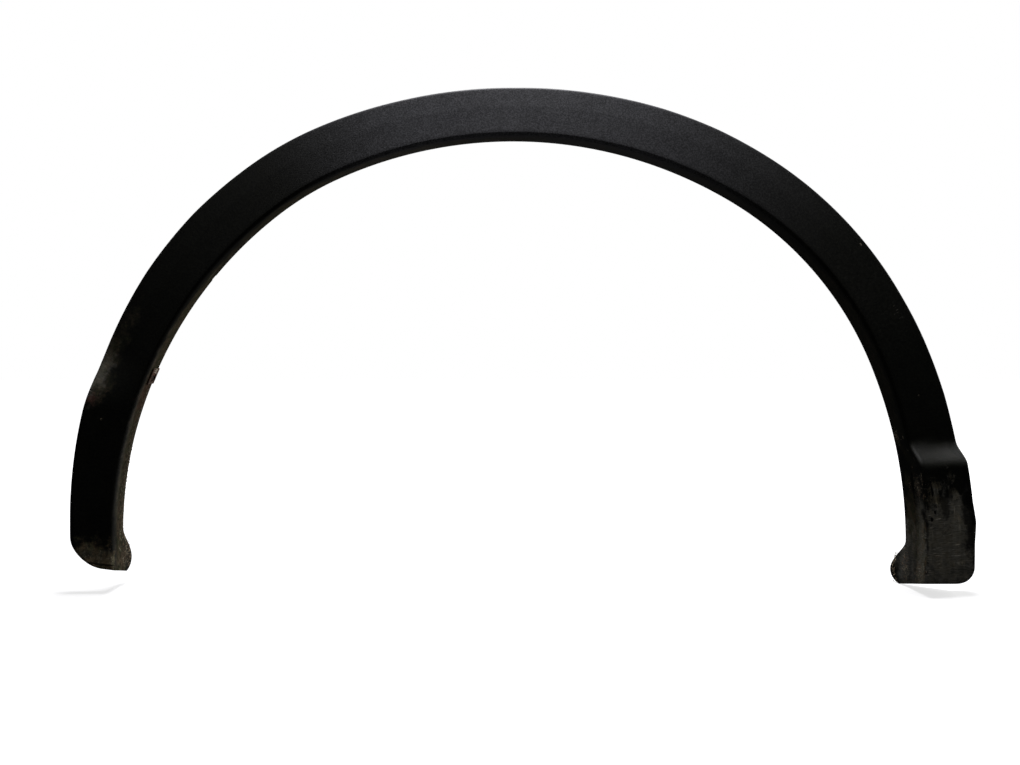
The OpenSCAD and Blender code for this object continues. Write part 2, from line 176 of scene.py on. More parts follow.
@dataclass(frozen=True)
class Section:
    """Sizes of the section and of what changes it along the line, and the skins that follow from them."""

    line: ArchLine = field(default_factory=ArchLine)
    wall: float = 2.8
    face_width: float = 50.0
    crest_height: float = 18.0
    face_fall: float = 14.0
    face_bow: float = 0.5
    bend_share: float = 0.6
    bend_radius: float = 90.0
    crest_radius: float = 3.2
    edge_radius: float = 4.8
    flange_depth: float = 22.0
    flange_strip: float = 8.0
    right_step: tuple[float, float, float] = (20.0, 94.0, 72.0)
    left_step: tuple[float, float, float] = (15.0, 186.0, 130.0)
    left_bend_share: float = 0.45
    corner_radii: tuple[float, float] = (17.0, 32.0)
    end_radius: float = 3.6
    end_slope: float = 0.2
    left_end_rise: float = 0.13
    slope_fade: float = 44.0
    ear_reach: tuple[float, float] = (26.0, 20.0)
    ear_lean: tuple[float, float] = (6.0, 3.5)
    ear_height: float = 37.0
    ear_tip: float = 0.36
    ear_cut: float = 0.6
    widths: tuple[Point, ...] = (
        (0, 1.05), (0.03, 1.06), (0.044, 1.1), (0.058, 1.062), (0.085, 1.055), (0.11, 1.05), (0.13, 1.056),
        (0.2, 1.032), (0.27, 1.05), (0.365, 1.075), (0.402, 1.065), (0.45, 1.035), (0.506, 1.01), (0.582, 1.025),
        (0.64, 1.052), (0.7, 1.076), (0.74, 1.093), (0.79, 1.071), (0.83, 1.025), (0.864, 0.985), (0.89, 0.978),
        (0.93, 0.925), (0.966, 0.88), (1, 0.86),
    )
    depths: tuple[Point, ...] = (
        (0, 1.08), (0.03, 1), (0.1, 0.97), (0.15, 1), (0.7, 1), (0.78, 1.1), (0.85, 1.12), (0.9, 1.03), (1, 1),
    )

    def share(self, s: float, table: Sequence[Point]) -> float:
        """Value of a table of shares at distance s."""
        return float(np.interp(s / self.line.length, [p[0] for p in table], [p[1] for p in table]))

    def on_right(self, s: float) -> bool:
        """True on the half of the line that starts at the right end."""
        return s < self.line.length / 2

    def end_distance(self, s: float) -> float:
        """Distance to the nearer end."""
        return min(s, self.line.length - s)

    def width(self, s: float, inset: float = 0.0) -> float:
        """Outer width of the face, for the skin that lies inset inside the outer one."""
        corner = self.corner_radii[0 if self.on_right(s) else 1]
        cut = round_in(self.end_distance(s) - inset, corner - inset)
        return self.face_width * self.share(s, self.widths) - inset - cut

    def height(self, s: float, n: float) -> float:
        """Height of a point n outwards from the line."""
        return self.line.point(s)[1] + n * math.sin(self.line.turn(s))

    def ear(self, s: float) -> float:
        """Outline of an ear of the flange, as a share of its reach."""
        d, tip = self.end_distance(s), self.ear_height * self.ear_tip
        if d > self.ear_height:
            return 0.0
        return 1 - self.ear_cut * (1 - d / tip) ** 2 if d < tip else soft_step((self.ear_height - d) / (self.ear_height - tip))

    def flange_edge(self, s: float) -> float:
        """Depth of the flange's back edge, without its ears."""
        return self.flange_depth * self.share(s, self.depths)

    def corners(self, s: float, w: float, z: float) -> list[np.ndarray]:
        """Corners of the outer skin before rounding, as (outwards, depth)."""
        side = 0 if self.on_right(s) else 1
        (right, right_top, right_foot), (left, left_top, left_foot) = self.right_step, self.left_step
        m = right * soft_step((right_top - z) / (right_top - right_foot)) if side == 0 else 0.0
        k = left * soft_step((left_top - z) / (left_top - left_foot)) if side == 1 else 0.0
        crest = -self.crest_height - m + round_in(self.end_distance(s), self.end_radius)
        bend = crest + self.face_fall * self.bend_share - self.face_bow - k * self.left_bend_share
        tip = self.flange_edge(s) + self.ear_reach[side] * self.ear(s)
        points = [
            (-self.ear_lean[side] * self.ear(s), tip), (0.0, self.flange_depth - self.flange_strip), (0.0, crest),
            (w * self.bend_share, bend), (w, crest + self.face_fall - k), (w, 0.0),
        ]
        return [np.array(p) for p in points]

    def skin_corners(self, p: Sequence[np.ndarray], inset: float) -> list[np.ndarray]:
        """The corners moved inwards by the inset."""

        def moved(a: np.ndarray, b: np.ndarray, c: np.ndarray) -> np.ndarray:
            """Corner b between its neighbours a and c, moved inwards."""
            n1, n2 = (np.array((-d[1], d[0])) / np.linalg.norm(d) for d in (b - a, c - b))
            return b + inset * (n1 + n2) / (1 + n1 @ n2)

        inner = [moved(p[i - 1], p[i], p[i + 1]) for i in (2, 3, 4)]
        return [p[0] + (inset, 0), p[1] + (inset, 0), *inner, p[5] - (inset, 0)]

    def lean_down(self, s: float, n: float, y: float) -> float:
        """Move along the line that slopes the end walls."""
        blend_share = soft_step((self.slope_fade - self.end_distance(s)) / self.slope_fade)
        slope = self.end_slope * (y + self.crest_height)
        return blend_share * (-slope if self.on_right(s) else slope - self.left_end_rise * n)

    def to_part(self, s: float, n: float, y: float) -> tuple[float, float, float]:
        """The point of the part at distance s, n outwards and y deep, in metres."""
        a, (x, z), d = self.line.turn(s), self.line.point(s), self.lean_down(s, n, y)
        return (
            (x + n * math.cos(a) - d * math.sin(a)) * MM,
            y * MM,
            (z + n * math.sin(a) + d * math.cos(a)) * MM,
        )

    def profile(self, s: float, s_skin: float, inset: float) -> tuple[np.ndarray, np.ndarray]:
        """One row of a skin, from the flange's back edge to the outer lip.

        Args:
            s: Distance along the line whose steps and end rounding the row takes.
            s_skin: Distance along the line at which the row lies.
            inset: How far the skin lies inside the outer one.

        Returns:
            The points as (outwards, depth), and how far each lies from the crest along the skin.
        """
        w = self.width(s_skin, inset) + inset
        mid, inner, outer = (self.corners(s, w, self.height(s, w * f)) for f in (self.bend_share, 0.0, 1.0))
        p = [inner[0], inner[1], inner[2], mid[3], outer[4], outer[5]]
        q = self.skin_corners(p, inset)
        rim = self.wall * 0.2
        ends = [q[0] - (0, rim), q[5] - (0, rim)]
        arcs = [
            rounded(q[1], q[2], q[3], self.crest_radius - inset, 9),
            rounded(q[2], q[3], q[4], self.bend_radius - inset, 5),
            rounded(q[3], q[4], q[5], self.edge_radius - inset, 9),
        ]
        parts = [
            between(ends[0], q[1], 5), between(q[1], arcs[0][0], 6), arcs[0][:-1], between(arcs[0][-1], arcs[1][0], 8),
            arcs[1][:-1], between(arcs[1][-1], arcs[2][0], 7), arcs[2][:-1], between(arcs[2][-1], ends[1], 4),
            ends[1][None],
        ]
        points = np.concatenate(parts)
        steps = np.concatenate([[0.0], np.cumsum(np.linalg.norm(np.diff(points, axis=0), axis=1))])
        return points, steps - steps[5 + 6 + 4]


def between(a: np.ndarray, b: np.ndarray, n: int) -> np.ndarray:
    """n points from a towards b, without b."""
    return a + (b - a) * (np.arange(n) / n)[:, None]


def rounded(a: np.ndarray, b: np.ndarray, c: np.ndarray, r: float, n: int) -> np.ndarray:
    """n points on the arc that rounds corner b: its radius is r, or less where a leg is too short for it."""
    d1, d2 = (b - a) / np.linalg.norm(b - a), (c - b) / np.linalg.norm(c - b)
    t = math.acos(min(1.0, max(-1.0, float(d1 @ d2))))
    r = min(r, 0.48 * min(np.linalg.norm(b - a), np.linalg.norm(c - b)) / max(1e-6, math.tan(t / 2)))
    q = d2 - d1 * math.cos(t)
    q /= max(1e-9, float(np.linalg.norm(q)))
    start, angle = b - d1 * r * math.tan(t / 2), t * np.linspace(0, 1, n)[:, None]
    return start + d1 * r * np.sin(angle) + q * r * (1 - np.cos(angle))


def mesh_object(name: str, verts: Iterable[Sequence[float]], faces: Iterable[Sequence[int]]) -> bpy.types.Object:
    """A mesh object at the origin, linked to the scene."""
    mesh = bpy.data.meshes.new(name)
    mesh.from_pydata([tuple(v) for v in verts], [], [tuple(f) for f in faces])
    made = bpy.data.objects.new(name, mesh)
    bpy.context.scene.collection.objects.link(made)
    return made


def settle(piece: bpy.types.Object) -> None:
    """Turns the result of a piece's modifiers into its plain mesh and removes them."""
    bpy.context.view_layer.update()
    graph = bpy.context.evaluated_depsgraph_get()
    made = bpy.data.meshes.new_from_object(piece.evaluated_get(graph), depsgraph=graph)
    piece.modifiers.clear()
    piece.data = made
    made.name = piece.name


def smooth(piece: bpy.types.Object, angle: float = 35.0) -> None:
    """Shades a piece smooth, apart from edges sharper than the angle in degrees."""
    piece.data.shade_smooth()
    piece.data.set_sharp_from_angle(angle=math.radians(angle))


def cut(piece: bpy.types.Object, cutters: Sequence[bpy.types.Object]) -> None:
    """Cuts closed shapes out of a piece and removes them."""
    for cutter in cutters:
        mod = piece.modifiers.new("cut", "BOOLEAN")
        mod.operation, mod.solver, mod.object = "DIFFERENCE", "EXACT", cutter
    settle(piece)
    for cutter in cutters:
        bpy.data.objects.remove(cutter)


def bevel(piece: bpy.types.Object, width: float, segments: int = 2, angle: float = 40.0) -> None:
    """Rounds the edges of a piece by a width in millimetres."""
    mod = piece.modifiers.new("bevel", "BEVEL")
    mod.width, mod.segments, mod.limit_method = width * MM, segments, "ANGLE"
    mod.angle_limit = math.radians(angle)
    settle(piece)


def rod(name: str, radius: float, length: float, place: Matrix, sides: int = 48) -> bpy.types.Object:
    """A closed round rod along X, centred on its place, for cutting holes. Sizes are in millimetres."""
    bm = bmesh.new()
    bmesh.ops.create_cone(
        bm, cap_ends=True, segments=sides, radius1=radius * MM, radius2=radius * MM, depth=length * MM
    )
    bm.transform(place @ Matrix.Rotation(math.pi / 2, 4, "Y"))
    bmesh.ops.recalc_face_normals(bm, faces=bm.faces)
    mesh = bpy.data.meshes.new(name)
    bm.to_mesh(mesh)
    bm.free()
    made = bpy.data.objects.new(name, mesh)
    bpy.context.scene.collection.objects.link(made)
    return made


@dataclass
class Prisms:
    """Gathers prisms of many shapes into one mesh."""

    verts: list[Vector] = field(default_factory=list)
    faces: list[list[int]] = field(default_factory=list)

    def add(self, outline: Sequence[Point], low: float, high: float, place: Callable[[float, float, float], Vector]) -> None:
        """Adds a prism.

        Args:
            outline: Its outline as (u, v), anticlockwise, in millimetres.
            low: Its start along the third direction.
            high: Its end there.
            place: Turns (u, v, third) into a point of the part, in metres.
        """
        start, n = len(self.verts), len(outline)
        for w in (low, high):
            self.verts += [place(u, v, w) for u, v in outline]
        self.faces.append([start + i for i in reversed(range(n))])
        self.faces.append([start + n + i for i in range(n)])
        for i in range(n):
            j = (i + 1) % n
            self.faces.append([start + i, start + j, start + n + j, start + n + i])

    def build(self, name: str) -> bpy.types.Object:
        """The mesh of all prisms, with its faces pointing outwards."""
        made = mesh_object(name, self.verts, self.faces)
        bm = bmesh.new()
        bm.from_mesh(made.data)
        bmesh.ops.recalc_face_normals(bm, faces=bm.faces)
        bm.to_mesh(made.data)
        bm.free()
        return made


@dataclass
class Moulding:
    """The moulded channel itself: two skins, their rims and end walls, and the holes in the flange."""

    section: Section
    spacing: float = 2.4
    ear_hole: tuple[float, float, float] = (4.25, 20.0, -13.5)
    nut_share: float = 0.8537
    nut_hole_radius: float = 4.0
    nut_hole_back: float = 13.2
    notch: tuple[float, float, float] = (0.766, 6.0, 3.0)

    def stations(self) -> list[float]:
        """Distances of the rows, which lie closer together round both corners of the ends."""
        length, (right, left) = self.section.line.length, self.section.corner_radii
        first = [right * (1 - math.cos(math.radians(a))) for a in np.linspace(0, 90, 15)]
        last = [length - left * (1 - math.cos(math.radians(a))) for a in np.linspace(90, 0, 22)]
        middle = np.linspace(first[-1], last[0], int((last[0] - first[-1]) / self.spacing))
        return [*first, *middle[1:-1], *last]

    def inner(self, s: float) -> float:
        """Distance at which the inner skin's row lies, clear of the end walls."""
        shift = max(0.0, self.section.wall - 0.2 * self.section.end_distance(s))
        return s + shift if self.section.on_right(s) else s - shift

    def loop(self, s: float) -> tuple[list[Vector], list[tuple[float, float, float]], int]:
        """One closed loop round the wall at distance s.

        Args:
            s: Distance along the line.

        Returns:
            The points in metres, their place on the skin (distance along, distance from the crest, layer), and how
            many of them belong to one skin.
        """
        sec, s_in = self.section, self.inner(s)
        outer, t_out = sec.profile(s, s, 0.0)
        inner, t_in = sec.profile(s, s_in, sec.wall)
        a = [Vector(sec.to_part(s, *p)) for p in outer]
        b = [Vector(sec.to_part(s_in, *p)) for p in inner]
        rim, back = sec.wall * 0.2 * MM, Vector((0, 1, 0))

        def edge(o: Vector, i: Vector) -> list[Vector]:
            """Four points that round the rim between the outer and the inner skin."""
            u = (i - o).normalized() * rim
            return [o + 0.3 * u + 0.7 * rim * back, o + u + rim * back, i - u + rim * back, i - 0.3 * u + 0.7 * rim * back]

        lip, tip = edge(a[-1], b[-1]), edge(a[0], b[0])
        points = a + lip + b[::-1] + tip[::-1]
        along, inside = s * MM, s_in * MM
        places = [(along, t * MM, 0.0) for t in t_out] + [(along, t_out[-1] * MM, 0.5)] * 4
        places += [(inside, t * MM, 1.0) for t in t_in[::-1]] + [(along, t_out[0] * MM, 0.5)] * 4
        return points, places, len(a)

    def shell(self) -> bpy.types.Object:
        """The closed shell, before its holes are cut."""
        loops = [self.loop(s) for s in self.stations()]
        m, ring, rows = loops[0][2], len(loops[0][0]), len(loops)
        faces: list[list[int]] = []
        for i in range(rows - 1):
            for j in range(ring):
                k, a = (j + 1) % ring, i * ring
                faces.append([a + j, a + ring + j, a + ring + k, a + k])
        for base, flip in ((0, False), ((rows - 1) * ring, True)):
            caps = [[m - 1, j, j + 1] for j in range(m - 2)]
            caps += [[m + 4, m + 5 + j, m + 6 + j] for j in range(m - 2)]
            lip, tip = list(range(m - 1, m + 5)), [0, *range(ring - 1, 2 * m + 2, -1)]
            caps += [[lip[k], lip[k + 1], tip[k + 1], tip[k]] for k in range(5)]
            for cap in caps:
                faces.append([base + v for v in (cap[::-1] if flip else cap)])
        made = mesh_object("trim_moulding", [p for l in loops for p in l[0]], faces)
        place = made.data.attributes.new("skin", "FLOAT_VECTOR", "POINT")
        place.data.foreach_set("vector", np.array([p for l in loops for p in l[1]], np.float32).ravel())
        bm = bmesh.new()
        bm.from_mesh(made.data)
        bmesh.ops.recalc_face_normals(bm, faces=bm.faces)
        bm.to_mesh(made.data)
        bm.free()
        return made

    def holes(self) -> list[bpy.types.Object]:
        """Closed shapes of the screw holes and of the notch in the flange."""
        line, sec = self.section.line, self.section
        radius, depth, height = self.ear_hole
        ear = Matrix.Translation(Vector((line.point(line.length)[0], depth, height)) * MM)
        nut_s = self.nut_share * line.length
        nut_depth = sec.flange_edge(nut_s) - self.nut_hole_back
        nut = line.matrix(nut_s) @ Matrix.Translation((0, nut_depth * MM, 0))
        share, long, deep = self.notch
        notch_s = share * line.length
        edge, place = sec.flange_edge(notch_s), line.matrix(notch_s)
        box = Prisms()
        corners = [(-sec.wall, edge - deep), (sec.wall * 2, edge - deep), (sec.wall * 2, edge + deep), (-sec.wall, edge + deep)]
        box.add(corners, -long / 2, long / 2, lambda u, v, w: place @ (Vector((u, v, w)) * MM))
        return [
            rod("cut_ear", radius, sec.wall * 5, ear),
            rod("cut_nut", self.nut_hole_radius, sec.wall * 5, nut),
            box.build("cut_notch"),
        ]

    def build(self) -> bpy.types.Object:
        """The finished moulding."""
        made = self.shell()
        cut(made, self.holes())
        smooth(made, 38)
        return made


@dataclass
class Backing:
    """Clip houses and stiffening ribs behind the face, which are moulded in one with it."""

    section: Section
    house_length: float = 22.0
    house_width: float = 20.0
    house_wall: float = 1.8
    house_gap: float = 2.0
    slot_radius: float = 3.3
    rib_wall: float = 1.6
    rib_share: float = 0.42
    rib_depth: float = 8.0
    house_shares: tuple[float, ...] = (0.05, 0.165, 0.275, 0.385, 0.495, 0.605, 0.715, 0.815, 0.945)
    rib_shares: tuple[float, ...] = (
        0.022, 0.135, 0.2, 0.245, 0.305, 0.355, 0.415, 0.465, 0.525, 0.575, 0.635, 0.685, 0.745, 0.785, 0.895, 0.92,
    )

    def clip_offset(self, s: float) -> float:
        """How far outwards from the line the middle of a clip house lies."""
        return self.section.width(s) * self.section.bend_share

    def middle(self, s: float) -> list[np.ndarray]:
        """Corners halfway through the wall at distance s."""
        sec = self.section
        w = sec.width(s)
        return sec.skin_corners(sec.corners(s, w, sec.height(s, w * sec.bend_share)), sec.wall / 2)

    def house(self, prisms: Prisms, s: float) -> None:
        """Adds the three walls and the slotted plate of one clip house."""
        q, place = self.middle(s), self.section.line.matrix(s)
        depth = lambda n: float(np.interp(n, [q[2][0], q[3][0], q[4][0]], [q[2][1], q[3][1], q[4][1]]))
        centre, half, wall, gap = self.clip_offset(s), self.house_width / 2, self.house_wall, self.house_gap
        n0, n1, long = centre - half, centre + half, self.house_length / 2
        flat = lambda u, v, w: place @ (Vector((u, v, w)) * MM)
        closing = [(n0, depth(n0)), (float(q[3][0]), float(q[3][1])), (n1, depth(n1)), (n1, -gap), (n0, -gap)]
        prisms.add(closing, -long, -long + wall, flat)
        for n in (n0, n1 - wall):
            side = [(n, depth(n)), (n + wall, depth(n + wall)), (n + wall, -gap), (n, -gap)]
            prisms.add(side, -long, long, flat)
        r = self.slot_radius
        arc = [(centre + r * math.cos(a), r * math.sin(a)) for a in np.linspace(math.pi, 2 * math.pi, 17)]
        plate = [(n0, long), (n0, -long), (n1, -long), (n1, long), (centre + r, long), *arc[::-1], (centre - r, long)]
        prisms.add(plate, -gap - wall, -gap, lambda u, v, w: place @ (Vector((u, w, v)) * MM))

    def rib(self, prisms: Prisms, s: float) -> None:
        """Adds one rib in the corner between face and flange."""
        q, place = self.middle(s), self.section.line.matrix(s)
        n = self.section.width(s) * self.rib_share
        y = float(np.interp(n, [q[2][0], q[3][0], q[4][0]], [q[2][1], q[3][1], q[4][1]]))
        outline = [(float(q[2][0]), float(q[2][1])), (n, y), (float(q[2][0]), self.rib_depth)]
        prisms.add(outline, -self.rib_wall / 2, self.rib_wall / 2, lambda u, v, w: place @ (Vector((u, v, w)) * MM))

    def build(self) -> bpy.types.Object:
        """All houses and ribs as one piece."""
        prisms, length = Prisms(), self.section.line.length
        for share in self.house_shares:
            self.house(prisms, share * length)
        for share in self.rib_shares:
            self.rib(prisms, share * length)
        made = prisms.build("trim_backing")
        bevel(made, 0.35)
        smooth(made, 50)
        return made


@dataclass
class MudCrumbs:
    """Crumbs of dried mud along the back of the flange, strewn by Geometry Nodes."""

    section: Section
    bands: tuple[tuple[float, float, float, float], ...] = (
        (1228.0, 1330.0, 5.0, 0.3), (1326.0, 1350.0, -9.0, -16.0), (2.0, 26.0, -12.0, -21.0), (92.0, 106.0, 26.0, 18.0),
    )
    size: float = 1.0

    def lump(self) -> bpy.types.Object:
        """One uneven crumb with a few faces."""
        bm = bmesh.new()
        bmesh.ops.create_icosphere(bm, subdivisions=1, radius=0.5 * self.size * MM)
        for i, vert in enumerate(bm.verts):
            vert.co *= 1 + 0.35 * math.sin(2.4 * i + 0.7)
        mesh = bpy.data.meshes.new("crumb")
        bm.to_mesh(mesh)
        bm.free()
        made = bpy.data.objects.new("crumb", mesh)
        bpy.context.scene.collection.objects.link(made)
        return made

    def carrier(self) -> bpy.types.Object:
        """The strips of the flange that carry crumbs, each between two distances from its back edge."""
        verts, faces = [], []
        for start, stop, near, far in self.bands:
            rows = np.linspace(start, stop, 16)
            for s in rows:
                edge = self.section.flange_edge(s)
                lean = -self.section.ear_lean[0 if self.section.on_right(s) else 1] * self.section.ear(s)
                for back in (near, far):
                    n = lean * soft_step(-back / 12.0) if back < 0 else 0.0
                    verts.append(self.section.to_part(s, n, edge - back))
            base = len(verts) - 2 * len(rows)
            faces += [[base + 2 * i, base + 2 * i + 2, base + 2 * i + 3, base + 2 * i + 1] for i in range(len(rows) - 1)]
        return mesh_object("mud_crumbs", verts, faces)

    def build(self, finish: bpy.types.Material) -> bpy.types.Object:
        """All crumbs as one piece."""
        made = self.carrier()
        values = {"Density": 2.2e5, "Smallest": 0.35, "Largest": 1.3, "Seed": 5}
        PlaceTree("crumbs on the flange", scatter=True).run(made, self.lump(), finish, **values)
        smooth(made, 60)
        return made


class PlaceTree:
    """A Geometry Nodes tree that puts one shape on every point of a carrier mesh."""

    def __init__(self, name: str, scatter: bool) -> None:
        """Builds the tree.

        Args:
            name: Name of the tree.
            scatter: True to strew points over the carrier's faces, False to use its vertices, turned by their
                "turn" attribute.
        """
        self.tree = bpy.data.node_groups.new(name, "GeometryNodeTree")
        self.ids: dict[str, str] = {}
        self.nodes, self.links = self.tree.nodes, self.tree.links
        face = self.tree.interface
        self.ids["Carrier"] = face.new_socket("Carrier", in_out="INPUT", socket_type="NodeSocketGeometry").identifier
        for label, kind in (("Shape", "NodeSocketObject"), ("Finish", "NodeSocketMaterial")):
            self.ids[label] = face.new_socket(label, in_out="INPUT", socket_type=kind).identifier
        for label in ("Density", "Smallest", "Largest"):
            self.ids[label] = face.new_socket(label, in_out="INPUT", socket_type="NodeSocketFloat").identifier
        self.ids["Seed"] = face.new_socket("Seed", in_out="INPUT", socket_type="NodeSocketInt").identifier
        face.new_socket("Geometry", in_out="OUTPUT", socket_type="NodeSocketGeometry")
        source, sink = self.nodes.new("NodeGroupInput"), self.nodes.new("NodeGroupOutput")
        shape = self.nodes.new("GeometryNodeObjectInfo")
        place = self.nodes.new("GeometryNodeInstanceOnPoints")
        real, finish = self.nodes.new("GeometryNodeRealizeInstances"), self.nodes.new("GeometryNodeSetMaterial")
        size = self.nodes.new("FunctionNodeRandomValue")
        points: Any = source.outputs["Carrier"]
        if scatter:
            strew, turn = self.nodes.new("GeometryNodeDistributePointsOnFaces"), self.nodes.new("FunctionNodeRandomValue")
            turn.data_type = "FLOAT_VECTOR"
            turn.inputs[1].default_value = (2 * math.pi,) * 3
            self.links.new(points, strew.inputs["Mesh"])
            self.links.new(source.outputs["Density"], strew.inputs["Density"])
            self.links.new(source.outputs["Seed"], strew.inputs["Seed"])
            points, direction = strew.outputs["Points"], turn.outputs[0]
        else:
            turn = self.nodes.new("GeometryNodeInputNamedAttribute")
            turn.data_type = "FLOAT_VECTOR"
            turn.inputs["Name"].default_value = "turn"
            direction = turn.outputs["Attribute"]
        to_turn = self.nodes.new("FunctionNodeEulerToRotation")
        self.links.new(direction, to_turn.inputs[0])
        self.links.new(points, place.inputs["Points"])
        self.links.new(to_turn.outputs[0], place.inputs["Rotation"])
        self.links.new(source.outputs["Shape"], shape.inputs["Object"])
        self.links.new(shape.outputs["Geometry"], place.inputs["Instance"])
        self.links.new(source.outputs["Smallest"], size.inputs[2])
        self.links.new(source.outputs["Largest"], size.inputs[3])
        self.links.new(source.outputs["Seed"], size.inputs["Seed"])
        self.links.new(size.outputs[1], place.inputs["Scale"])
        self.links.new(place.outputs["Instances"], real.inputs[0])
        self.links.new(real.outputs[0], finish.inputs["Geometry"])
        self.links.new(source.outputs["Finish"], finish.inputs["Material"])
        self.links.new(finish.outputs[0], sink.inputs["Geometry"])

    def run(self, carrier: bpy.types.Object, shape: bpy.types.Object, finish: bpy.types.Material, **values: float) -> None:
        """Replaces the carrier's mesh by the placed shapes and removes the shape.

        Args:
            carrier: Mesh that gives the places, and that becomes the finished piece.
            shape: The shape that is repeated.
            finish: Its material.
            values: Density, Smallest, Largest and Seed.
        """
        mod = carrier.modifiers.new("places", "NODES")
        mod.node_group = self.tree
        for label, value in {"Smallest": 1.0, "Largest": 1.0, "Seed": 1, "Density": 0.0, **values}.items():
            mod[self.ids[label]] = int(value) if label == "Seed" else float(value)
        mod[self.ids["Shape"]], mod[self.ids["Finish"]] = shape, finish
        settle(carrier)
        bpy.data.objects.remove(shape)


def turned(name: str, outline: Sequence[Point], sides: int = 40) -> bpy.types.Object:
    """A closed shape turned about the depth axis from an outline of (radius, depth) that starts and ends on it."""
    ring = [p for p in outline if p[0] > 1e-6]
    verts = [(0.0, outline[0][1] * MM, 0.0), (0.0, outline[-1][1] * MM, 0.0)]
    for k in range(sides):
        a = 2 * math.pi * k / sides
        verts += [(r * math.cos(a) * MM, y * MM, r * math.sin(a) * MM) for r, y in ring]
    m, faces = len(ring), []
    for k in range(sides):
        a, b = 2 + k * m, 2 + (k + 1) % sides * m
        faces += [[a + i, a + i + 1, b + i + 1, b + i] for i in range(m - 1)] + [[0, a, b], [1, b + m - 1, a + m - 1]]
    made = mesh_object(name, verts, faces)
    outward(made)
    return made


def outward(piece: bpy.types.Object) -> None:
    """Points every face of a closed piece outwards."""
    bm = bmesh.new()
    bm.from_mesh(piece.data)
    bmesh.ops.recalc_face_normals(bm, faces=bm.faces)
    bm.to_mesh(piece.data)
    bm.free()


@dataclass
class PushClips:
    """The barbed clips, one in each house, placed by Geometry Nodes."""

    backing: Backing
    neck: float = 3.0
    head: float = 6.8
    head_thickness: float = 1.6
    barb: float = 4.1
    core: float = 2.7
    pitch: float = 2.8

    def outline(self) -> list[Point]:
        """Half outline of a clip, from its head to its tip."""
        seat, under = -self.backing.house_gap, -self.backing.house_gap - self.backing.house_wall
        first, soft, gap = self.head_thickness * 0.75, 0.35, self.backing.house_gap
        top = under - self.head_thickness
        points = [
            (0.0, top), (self.head - soft, top), (self.head, top + soft), (self.head, under - soft),
            (self.head - soft, under), (self.neck, under), (self.neck, seat), (self.head * 0.85, seat),
            (self.head, seat + gap * 0.6), (self.head - soft, seat + gap * 0.85), (self.head * 0.8, seat + gap),
            (self.core, seat + gap),
        ]
        for k in range(4):
            y, r = first + self.pitch * k, self.barb * (1 - 0.06 * k)
            points += [(r - 0.2, y + self.pitch * 0.18), (r, y + self.pitch * 0.3), (self.core, y + self.pitch)]
        return [*points, (self.core * 0.55, first + self.pitch * 4.8), (0.0, first + self.pitch * 5)]

    def build(self, finish: bpy.types.Material) -> bpy.types.Object:
        """All clips as one piece."""
        line, section = self.backing.section.line, self.backing.section
        places, turns = [], []
        for share in self.backing.house_shares:
            s = share * line.length
            places.append(line.matrix(s) @ Vector((self.backing.clip_offset(s) * MM, 0, 0)))
            turns.append((0.0, -line.turn(s), 0.0))
        made = mesh_object("push_clips_fitted", places, [])
        turn = made.data.attributes.new("turn", "FLOAT_VECTOR", "POINT")
        turn.data.foreach_set("vector", np.array(turns, np.float32).ravel())
        PlaceTree("clips on their houses", scatter=False).run(made, turned("clip", self.outline()), finish)
        smooth(made, 30)
        return made


